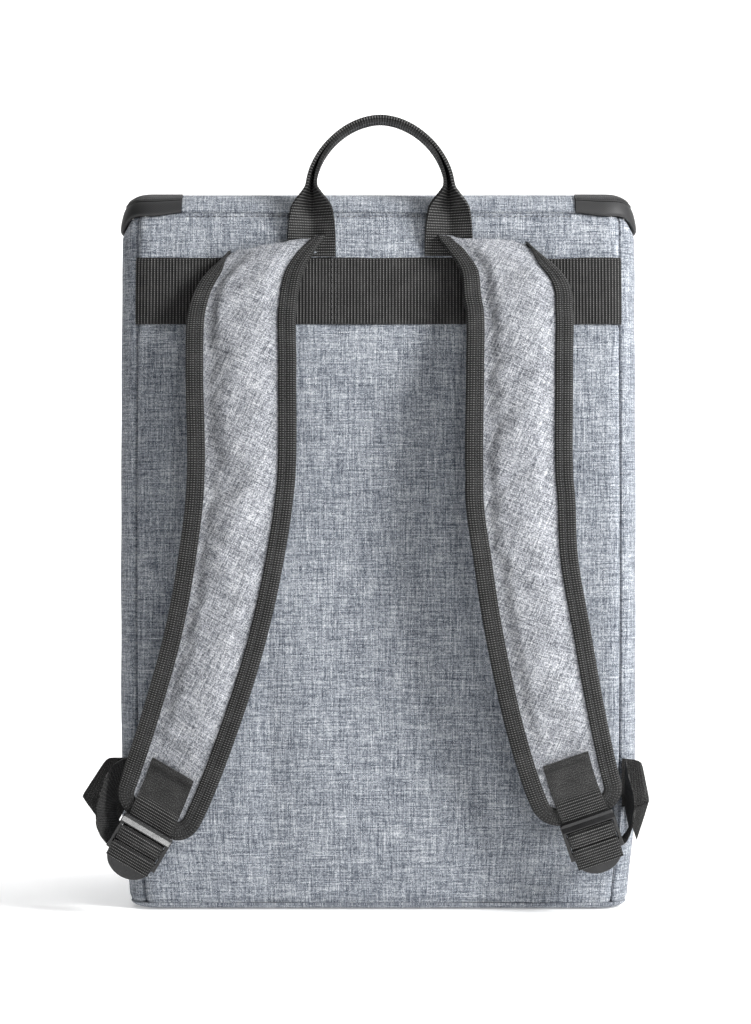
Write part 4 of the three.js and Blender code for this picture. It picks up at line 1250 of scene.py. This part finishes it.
def swollen(pad, strap, cap=0.0022):
    """Lets the pad's cloth swell a little in a simulation, held at its rim."""
    shape = pad.data.copy()
    target = bpy.data.objects.new("pad_shape", shape)
    scene.collection.objects.link(target)
    remesh = pad.modifiers.new("remesh", "REMESH")
    remesh.mode = "VOXEL"
    remesh.voxel_size = 0.0030
    wrap = pad.modifiers.new("wrap", "SHRINKWRAP")
    wrap.target = target
    wrap.wrap_method = "NEAREST_SURFACEPOINT"
    pad = plain_mesh(pad)
    bpy.data.objects.remove(target)
    count = len(pad.data.vertices)
    rest = np.empty(count * 3)
    pad.data.vertices.foreach_get("co", rest)
    rest = rest.reshape(-1, 3)
    downs = np.linspace(0, strap.length, 400)
    origin, outward, normal, _ = strap.frame(downs)
    facing = unit(np.cross(outward, normal))
    near = np.array([np.abs(np.einsum("dk,dk->d", point - origin, facing)).argmin() for point in rest])
    down = downs[near]
    across = np.einsum("pk,pk->p", rest - origin[near], outward[near])
    high = np.einsum("pk,pk->p", rest - origin[near], normal[near])
    from_edge = strap.half(down) - np.abs(across)
    loose = smooth(from_edge, binding_width - 0.001, binding_width + 0.006) * smooth(down, 0.012, 0.030)
    patch_top = strap.length - patch_run
    loose = loose * (1 - smooth(down, patch_top - 0.012, patch_top)) * (high > 0.002)
    held = pad.vertex_groups.new(name="held")
    for index, share in enumerate(loose):
        held.add([index], float(1 - share), "REPLACE")
    cloth = pad.modifiers.new("cloth", "CLOTH")
    cloth.settings.quality = 6
    cloth.settings.mass = 0.25
    cloth.settings.tension_stiffness = 18
    cloth.settings.compression_stiffness = 18
    cloth.settings.shear_stiffness = 8
    cloth.settings.bending_stiffness = 1.2
    cloth.settings.use_pressure = True
    cloth.settings.uniform_pressure_force = 4
    cloth.settings.shrink_min = -0.02
    cloth.settings.vertex_group_mass = "held"
    cloth.settings.effector_weights.gravity = 0
    cloth.collision_settings.use_collision = False
    for step in range(1, 21):
        scene.frame_set(step)
    pad = plain_mesh(pad)
    scene.frame_set(1)
    moved = np.empty(count * 3)
    pad.data.vertices.foreach_get("co", moved)
    shift = moved.reshape(-1, 3) - rest
    size = np.linalg.norm(shift, axis=1, keepdims=True)
    kept = shift * np.minimum(1, cap / np.maximum(size, 1e-9)) * loose[:, None]
    pad.data.vertices.foreach_set("co", (rest + kept).ravel())
    pad.data.update()
    finer = pad.modifiers.new("finer", "SUBSURF")
    finer.levels = 1
    finer.render_levels = 1
    return plain_mesh(pad)


def strap_edge(strap, step):
    """The edge of a strap as a path: down the outer side, round the end and up the inner side."""
    downs = np.arange(0, strap.length - strap_end_radius, step)
    turns = np.radians(np.linspace(0, 90, int(strap_end_radius * np.pi / 2 / step)))
    half = strap.half(downs)
    rows = [(downs, half, 0 * downs, 0 * downs - 1)]
    bend = strap.length - strap_end_radius * (1 - np.sin(turns))
    rows.append((bend, strap.half(bend), -np.sin(turns), -np.cos(turns)))
    end_half = strap.half([strap.length - 1e-6])[0]
    cross = np.arange(end_half, -end_half, -step)[1:]
    rows.append((cross * 0 + strap.length, cross, cross * 0 - 1, cross * 0))
    down, across, in_down, in_across = (np.concatenate(parts) for parts in zip(*rows))
    first = len(downs) + len(turns)
    mirror_down, mirror_across = down[:first][::-1], -across[:first][::-1]
    mirror_in_down, mirror_in_across = in_down[:first][::-1], -in_across[:first][::-1]
    return (
        np.concatenate([down, mirror_down]), np.concatenate([across, mirror_across]),
        np.concatenate([in_down, mirror_in_down]), np.concatenate([in_across, mirror_in_across]),
    )


def edge_point(strap, edge, deep, high):
    """Points a depth in from the edge, at a height above the pad's back face."""
    down, across, in_down, in_across = edge
    return strap.point(down + in_down * deep, across + in_across * deep, high)


def edge_taper(edge):
    """Share of its full width that the binding has at each place along the edge."""
    down, across = edge[0], edge[1]
    outer = mixed(0.18, 1, smooth(down, 0, 0.024))
    inner = mixed(0.75, 1, smooth(down, 0, 0.010))
    return np.where(across > 0, outer, inner)


def strap_binding(strap):
    """Ribbed binding folded round the rim of the pad, with a stitched lower lip."""
    edge = strap_edge(strap, binding_pitch / binding_steps)
    down = edge[0]
    rim = strap.front(down, 0 * down)
    middle = rim / 2

    # Depth from the edge, face from 1 at the front to -1 at the back, and share of the thickness
    outer = [
        (binding_width, 1, 0.25), (binding_width - 0.0006, 1, 0.8), (binding_width * 0.72, 1, 1.05),
        (stitch_line, 1, 0.82), (binding_width * 0.52, 1, 1.05), (binding_width * 0.3, 1, 1.1),
        (0.0022, 1, 1.0), (0.0009, 0.9, 1.0), (0.0, 0.5, 1.0), (0.0, 0, 1.0), (0.0, -0.5, 1.0),
        (0.0009, -0.9, 1.0), (0.0022, -1, 1.0), (binding_width * 0.5, -1, 1.0), (binding_width, -1, 0.5),
    ]
    inner = [
        (binding_width, -1), (0.0022, -1), (binding_thickness, -0.5), (binding_thickness, 0.5),
        (0.0022, 1), (binding_width, 1),
    ]
    rings = []
    taper = edge_taper(edge)
    for deep, face, skin in outer:
        if abs(face) > 0.8:
            high = middle + face * (middle + rim_gap) + np.sign(face) * binding_thickness * skin
        else:
            high = middle + face * (middle + rim_gap + binding_thickness)
        rings.append(edge_point(strap, edge, deep * taper, high))
    for deep, face in inner:
        high = middle + face * (middle + rim_gap)
        rings.append(edge_point(strap, edge, deep * taper, high))
    grid = np.stack(rings, 1)
    run = lengths_along(edge_point(strap, edge, np.full(len(down), binding_width / 2), rim))
    full_width_ring = grid[40]
    around = lengths_along(full_width_ring)
    cloth = np.stack(np.broadcast_arrays(around[None, :], run[:, None]), -1)
    rib = np.array([0.3, 1, 1, 0.3, 1] + [1] * 10 + [0] * 6, float)
    bend_start = strap.length - strap_end_radius
    plainer = 1 - 0.6 * smooth(down, bend_start - 0.006, bend_start + 0.004)
    binding = tube(
        f"strap_binding_{strap.side}_woven", grid, cloth,
        run=run[:, None], rib=rib[None, :] * plainer[:, None])
    binding = ribbed(binding, edge_binding, binding_pitch, rib_depth)
    softly_lit(binding)
    return binding


class Lock:
    """The frame of a ladder lock: origin at the top of its first bar, on its back face."""

    def __init__(self, strap):
        origin, outward, normal, _ = strap.frame([strap.length - lock_start])
        self.outward, self.normal = outward[0], normal[0]
        self.downward = unit(np.cross(self.outward, self.normal))
        if self.downward[2] > 0:
            self.downward = -self.downward
        self.origin = origin[0] + self.normal * (binding_top + gap + webbing_thickness + gap)

    def point(self, down, across, high):
        """Points down from the top of the lock, across it and off its back face."""
        down, across, high = np.broadcast_arrays(down, across, high)
        return (self.origin + self.downward * down[..., None] + self.outward * across[..., None]
                + self.normal * high[..., None])


binding_top = rim_thickness + rim_gap + binding_thickness
behind_bar = -gap - webbing_thickness / 2
over_bar = lock_thickness + gap + webbing_thickness / 2
middle_bar = lock_top_bar + lock_slot
lower_bar = middle_bar + lock_bar + lock_wide_slot
patch_fold = middle_bar + lock_bar + gap * 5 + webbing_thickness / 2
slack_fold = lower_bar - gap * 4 - webbing_thickness / 2

# The sloping bar on top of each lock from its side: down from its top edge, and off its back face
bar_half_thickness = 0.0018
bar_end_tuck = 0.0005
bar_profile = np.array([
    (0.0003, 0.0005), (0.0000, 0.0008), (0.0002, 0.0013), (lock_top_bar - 0.0007, 0.0038),
    (lock_top_bar - 0.0001, 0.0037), (lock_top_bar + 0.0001, 0.0030), (lock_top_bar, 0.0005),
])
bar_run, bar_rise = bar_profile[3] - bar_profile[2]


def softened(path, cut):
    """Cuts each corner of a path by a set length."""
    path = np.asarray(path, float)
    points = [path[0]]
    for i in range(1, len(path) - 1):
        for end in (path[i - 1], path[i + 1]):
            share = min(cut / np.linalg.norm(end - path[i]), 0.45)
            points.append(mixed(path[i], end, share))
    points.append(path[-1])
    return np.array(points)


def webbing_strip(name, middles, acrosses, widths, rib_of):
    """Webbing with thickness along a smooth line through sections, ribbed across."""
    middles, acrosses, widths = (np.asarray(part, float) for part in (middles, acrosses, widths))
    knots = np.linspace(0, 1, len(middles))
    dense = np.linspace(0, 1, 60 * len(middles))
    marks = lengths_along(catmull(middles, dense))
    run = np.arange(0, marks[-1], webbing_pitch / rib_steps)
    share = np.interp(run, marks, dense)
    middle = catmull(middles, share)
    across = unit(np.stack([np.interp(share, knots, acrosses[:, axis]) for axis in range(3)], -1))
    width = np.interp(share, knots, widths)
    tangent = unit(np.gradient(middle, axis=0))
    normal = unit(np.cross(tangent, across))
    columns = np.linspace(-1, 1, 11)
    edge_soft = 1 - 0.45 * np.abs(columns) ** 10
    flat = middle[:, None] + across[:, None] * (columns[None, :] * width[:, None] / 2)[..., None]
    lift = normal[:, None] * (webbing_thickness / 2 * edge_soft)[None, :, None]
    cloth = np.stack(np.broadcast_arrays(columns[None, :] * webbing_width / 2, run[:, None]), -1)
    rib = rib_of(share)[:, None] * (1 - 0.6 * np.abs(columns) ** 12)[None, :]
    strip = shell(name, flat + lift, flat - lift, cloth, back_rib=1, run=run[:, None], rib=rib)
    strip = ribbed(strip, strap_webbing, webbing_pitch, rib_depth)
    softly_lit(strip)
    return strip


def strap_patch(strap, lock):
    """Webbing sewn flat on the pad from a folded hem, then led round the lock's middle bar."""
    middles = []
    on_pad = rim_thickness + gap
    on_binding = binding_top + gap
    pad_rows = (
        (patch_length + 0.0030, on_pad + 0.0012), (patch_length, on_pad + 0.0013),
        (patch_length - 0.0014, on_pad), (patch_length * 0.62, on_pad), (binding_width + 0.005, on_pad),
        (binding_width + 0.0015, on_binding), (lock_start + 0.003, on_binding),
    )
    for from_end, high in pad_rows:
        down = np.array([strap.length - from_end])
        middles.append(strap.point(down, np.zeros(1), np.array([high + webbing_thickness / 2]))[0])
    flat_count = len(middles)
    in_slot = lock_top_bar + lock_slot / 2
    round_bar = softened([
        (0, behind_bar), (in_slot, behind_bar), (in_slot, over_bar), (patch_fold, over_bar),
        (patch_fold, behind_bar), (middle_bar + 0.0005, behind_bar)], fold_cut)
    middles += [lock.point(down, 0.0, high) for down, high in round_bar]
    acrosses = [lock.outward] * len(middles)
    sewn_share = (flat_count - 3) / (len(middles) - 1)
    return webbing_strip(
        f"strap_patch_{strap.side}_woven", middles, acrosses, [webbing_width] * len(middles),
        lambda share: mixed(0.15, 1, smooth(share, sewn_share * 0.9, sewn_share * 1.15)))


def lock_outline(steps):
    """Outer edge of a ladder lock with its thumb tab, in across and up."""
    half = lock_width / 2
    reach = lower_bar + lock_bar
    turn = np.linspace(0, np.pi / 2, steps)
    shoulder = [(half - lock_corner * (1 - np.sin(a)), -lock_corner * (1 - np.cos(a))) for a in turn]
    outer = list(shoulder)
    outer.append((half, -reach))
    thumb = np.linspace(0, np.pi, steps * 4)
    outer += [((half - lock_rail) * np.cos(a), -reach - lock_thumb * np.sin(a)) for a in thumb]
    outer.append((-half, -reach))
    outer += [(-x, y) for x, y in shoulder[::-1]]
    return outer


def ladder_lock(strap, lock):
    """Moulded ladder lock with rounded bars, rails and thumb tab."""
    half = lock_width / 2
    work = bmesh.new()
    loops = [lock_outline(6)]
    x = half - lock_rail
    inner = x - slot_corner
    for start, end in ((lock_top_bar, middle_bar), (middle_bar + lock_bar, lower_bar)):
        high = -start - slot_corner
        low = -end + slot_corner
        loops.append([
            (-inner, -start), (-x, high), (-x, low), (-inner, -end),
            (inner, -end), (x, low), (x, high), (inner, -start),
        ])
    edges = []
    for loop in loops:
        corners = [work.verts.new((x, y, 0)) for x, y in loop]
        edges += [work.edges.new((a, b)) for a, b in zip(corners, corners[1:] + corners[:1])]
    bmesh.ops.triangle_fill(work, use_beauty=True, use_dissolve=False, edges=edges)
    bmesh.ops.dissolve_limit(work, angle_limit=0.01, verts=work.verts, edges=work.edges)
    faces = list(work.faces)
    raised = bmesh.ops.extrude_face_region(work, geom=faces)
    lifted = [item for item in raised["geom"] if isinstance(item, bmesh.types.BMVert)]
    bmesh.ops.translate(work, verts=lifted, vec=(0, 0, lock_thickness))
    bmesh.ops.recalc_face_normals(work, faces=work.faces)
    mesh = bpy.data.meshes.new("ladder_lock")
    up = -lock.downward
    right = np.cross(up, lock.normal)
    place = Matrix.Identity(4)
    for column, axis in enumerate((right, up, lock.normal, lock.origin)):
        for row in range(3):
            place[row][column] = axis[row]
    bmesh.ops.transform(work, matrix=place, verts=work.verts)
    work.to_mesh(mesh)
    work.free()
    piece = bpy.data.objects.new(f"ladder_lock_{strap.side}_moulded", mesh)
    scene.collection.objects.link(piece)
    stations = np.array([-1, -0.985, 0.985, 1]) * (half - 0.0003)
    middle = bar_profile.mean(0)
    rings = []
    for across, tuck in zip(stations, (bar_end_tuck, 0, 0, bar_end_tuck)):
        shape = middle + (bar_profile - middle) * (1 - tuck / bar_half_thickness)
        rings.append(lock.point(shape[:, 0], across, shape[:, 1]))
    bar = tube("sloping_bar", np.stack(rings), np.zeros((4, len(bar_profile), 2)))
    bevel = piece.modifiers.new("soft_edges", "BEVEL")
    bevel.width = 0.0010
    bevel.segments = 4
    bevel.limit_method = "ANGLE"
    bevel.angle_limit = np.radians(40)
    piece = plain_mesh(piece)
    softly_lit(piece, 30)
    softly_lit(bar, 20)
    return joined(f"ladder_lock_{strap.side}_moulded", [piece, bar])


def seam_plan(side):
    """The one column of the seam between the harness panel and a side wall."""
    turn = 360 - panel_seam_turn if side == "left" else panel_seam_turn
    return Plan([-1 if side == "left" else 1], [-1], [turn])


def slack_webbing(strap, lock):
    """Webbing from its loose tail round the lock's lower bar and back to the side seam."""
    side = strap.side
    in_lock = softened([
        (lower_bar + tail_length[side], over_bar), (slack_fold, over_bar), (slack_fold, behind_bar),
        (lower_bar + slack_start, behind_bar - 0.0006)], fold_cut)
    middles = [lock.point(down, 0.0, high) for down, high in in_lock]
    acrosses = [lock.outward] * len(middles)
    lock_count = len(middles)
    start = lock.point(lower_bar + slack_start, 0.0, behind_bar - 0.0015)
    end = body_point(seam_plan(side), np.array([anchor_height]), -(gap * 2 + webbing_thickness * 1.5))[0]
    for share, out, fore, up, across_out, across_fore, across_up in slack_rows[side]:
        offset = np.array([strap.hand * out, -fore, up]) * webbing_width
        middles.append(mixed(start, end, share) + offset)
        acrosses.append(unit(np.array([strap.hand * across_out, -across_fore, across_up])))
    lock_share = (lock_count - 1) / (len(middles) - 1)
    return webbing_strip(
        f"adjuster_webbing_{side}_woven", middles, acrosses, [webbing_width] * len(middles),
        lambda share: mixed(1, 0.3, smooth(share, lock_share * 0.8, lock_share * 1.1)))


def seam_tab(side):
    """Folded webbing tab that joins the slack webbing to the side seam."""
    hand = -1 if side == "left" else 1
    root = body_point(seam_plan(side), np.array([anchor_height]), -(gap + webbing_thickness / 2))[0]
    lows = []
    highs = []
    for out, fore, low_up, high_out, high_up in tab_rows[side]:
        lows.append(root + np.array([hand * out, -fore, low_up]) * webbing_width)
        highs.append(root + np.array([hand * high_out, -fore, high_up]) * webbing_width)
    lows, highs = np.array(lows), np.array(highs)
    return webbing_strip(
        f"anchor_tab_{side}_woven", (lows + highs) / 2, unit(highs - lows),
        np.linalg.norm(highs - lows, axis=1), lambda share: np.full(len(share), 0.22))


bpy.data.objects["zip_slider"].material_slots[0].material = gloss_plastic

locks = {}
for side in ("left", "right"):
    strap = Strap(side)
    lock = Lock(strap)
    locks[side] = lock
    pad = strap_pad(strap)
    pad = swollen(pad, strap)
    pad.data.shade_smooth()
    spots = np.empty(len(pad.data.vertices) * 3)
    pad.data.vertices.foreach_get("co", spots)
    plane = strap_plane(strap, spots.reshape(-1, 3))
    corners = np.empty(len(pad.data.loops), np.int32)
    pad.data.loops.foreach_get("vertex_index", corners)
    while pad.data.uv_layers:
        pad.data.uv_layers.remove(pad.data.uv_layers[0])
    pad.data.uv_layers.new(name="cloth").data.foreach_set("uv", plane[corners].ravel())
    placed(pad, strap_cloth, "strap_fabric", f"shoulder_strap_{side}")
    placed(strap_binding(strap), None, "binding", f"strap_binding_{side}")
    stitch_edge = strap_edge(strap, 0.002)
    stitch_rim = strap.front(stitch_edge[0], 0 * stitch_edge[0]) + rim_gap + binding_thickness * 0.9
    row = edge_point(strap, stitch_edge, stitch_line * edge_taper(stitch_edge), stitch_rim)
    outs = strap.frame(stitch_edge[0])[2]
    seam = sewn(
        f"strap_binding_{side}_stitches", [(row, outs)], dark_thread,
        spacing=0.0030, length=0.0024, radius=0.00030)
    placed(seam, None, "binding")
    placed(strap_patch(strap, lock), None, "webbing", f"strap_patch_{side}")
    placed(ladder_lock(strap, lock), gloss_plastic, "buckle_plastic", f"ladder_lock_{side}")
    placed(slack_webbing(strap, lock), None, "webbing", f"adjuster_webbing_{side}")
    placed(seam_tab(side), None, "webbing", f"anchor_tab_{side}")


# Stitches on the body

seam_rows = []
for side in ("left", "right"):
    seam_column = seam_plan(side)
    z = np.arange(0.008, wall_top(seam_column)[0] - 0.004, 0.004)
    facing = np.tile([seam_column.out_x[0], seam_column.out_y[0], 0.0], (len(z), 1))
    seam_rows.append((body_point(seam_column, z, 0.0010), facing))
seam_stitches = sewn(
    "panel_seam_stitches", seam_rows, grey_thread, spacing=0.0036, length=0.0024, radius=0.00026)
placed(seam_stitches, None, "shell_fabric")

hinge_row = side_plan(0, np.linspace(-1, 1, 60) * 0.97 * hinge_width / 2 / straight_half_width)
hinge_facing = np.stack([hinge_row.out_x, hinge_row.out_y, 0 * hinge_row.out_x], -1)
hinge_line = body_point(hinge_row, np.full(60, hinge_seam - 0.0022), -0.0004)
hinge_stitches = sewn(
    "hinge_stitches", [(hinge_line, hinge_facing)], dark_thread,
    spacing=0.0032, length=0.0022, radius=0.00024)
placed(hinge_stitches, None, "shell_fabric")

# Two short upright rows that tack the band down left of its middle
band_rows = []
for x in (-0.0282, -0.0252):
    z = np.linspace(band_bottom + 0.001, band_top - 0.001, 30)
    ridge = np.stack([np.full(30, x), panel_face(z) - gap - band_thickness - 0.0002, z], -1)
    band_rows.append((ridge, np.tile([0.0, -1.0, 0.0], (30, 1))))
band_stitches = sewn(
    "band_stitches", band_rows, dark_thread, spacing=0.0030, length=0.0026, radius=0.00034)
placed(band_stitches, None, "webbing")

# The sweep behind, the lights and the camera

sweep_front = -3.2
sweep_bend = 0.9
sweep_top = 3.6
sweep_half_width = 3.4
sweep_drop = 0.0002
sweep_profile = [(sweep_front, 0.0), (sweep_bend, 0.0)]
for angle in np.radians(np.linspace(0, 90, 13)):
    sweep_profile.append((sweep_bend * (1 + np.sin(angle)), sweep_bend * (1 - np.cos(angle))))
sweep_profile.append((2 * sweep_bend, sweep_top))
sweep_points = []
for y, z in sweep_profile:
    sweep_points += [(-sweep_half_width, y, z - sweep_drop), (sweep_half_width, y, z - sweep_drop)]
sweep_faces = [(2 * i, 2 * i + 1, 2 * i + 3, 2 * i + 2) for i in range(len(sweep_profile) - 1)]
sweep = make_piece("studio_sweep", sweep_points, sweep_faces)
sweep.data.shade_smooth()
paper, paper_wire = new_finish("studio_paper")
close_finish(paper_wire, paper_wire.node("ShaderNodeBsdfPrincipled", values={
    "Base Color": (0.93, 0.93, 0.93, 1), "Roughness": 0.9,
    "Emission Color": (1, 1, 1, 1), "Emission Strength": 0.28}))
sweep.data.materials.append(paper)


def soft_light(name, place, aim, size, power):
    lamp = bpy.data.lights.new(name, "AREA")
    lamp.shape = "RECTANGLE"
    lamp.size, lamp.size_y = size
    lamp.energy = power
    holder = bpy.data.objects.new(name, lamp)
    holder.location = place
    holder.rotation_mode = "QUATERNION"
    holder.rotation_quaternion = (Vector(aim) - Vector(place)).to_track_quat("-Z", "Y")
    scene.collection.objects.link(holder)


camera_distance = 1.6
picture_height = 1024
pixel_size = 0.0006
camera_place = np.array([-0.0018, -body_depth / 2 - camera_distance, 0.2394])

# A small light that the sloping bar of the left lock mirrors to the camera
left_lock = locks["left"]
glint_distance = 1.7
bar_slope = np.arctan2(bar_rise, bar_run)
bar_out = left_lock.normal * np.cos(bar_slope) - left_lock.downward * np.sin(bar_slope)
to_camera = unit(camera_place - left_lock.origin)
mirrored = 2 * (bar_out @ to_camera) * bar_out - to_camera
glint_place = left_lock.origin + mirrored * glint_distance

soft_light("key_right", (1.32, -1.02, 1.02), (0, -0.09, 0.36), (0.6, 0.6), 50)
soft_light("bar_glint", tuple(glint_place), tuple(left_lock.origin), (0.25, 0.25), 4)
soft_light("sweep_wash", (0, 0.45, 2.6), (0, 1.6, 0.8), (3.0, 0.8), 52)

world = bpy.data.worlds.new("studio")
scene.world = world
world.use_nodes = True
world.node_tree.nodes["Background"].inputs["Color"].default_value = (1.0, 1.0, 1.0, 1)
world.node_tree.nodes["Background"].inputs["Strength"].default_value = 0.0
scene.view_settings.view_transform = "Standard"
scene.view_settings.look = "None"

camera_data = bpy.data.cameras.new("camera")
camera_data.sensor_width = 36
camera_data.lens = camera_data.sensor_width * camera_distance / (picture_height * pixel_size)
camera = bpy.data.objects.new("camera", camera_data)
camera.location = tuple(camera_place)
camera.rotation_euler = (np.pi / 2, 0, 0)
scene.collection.objects.link(camera)
scene.camera = camera

bpy.context.view_layer.update()
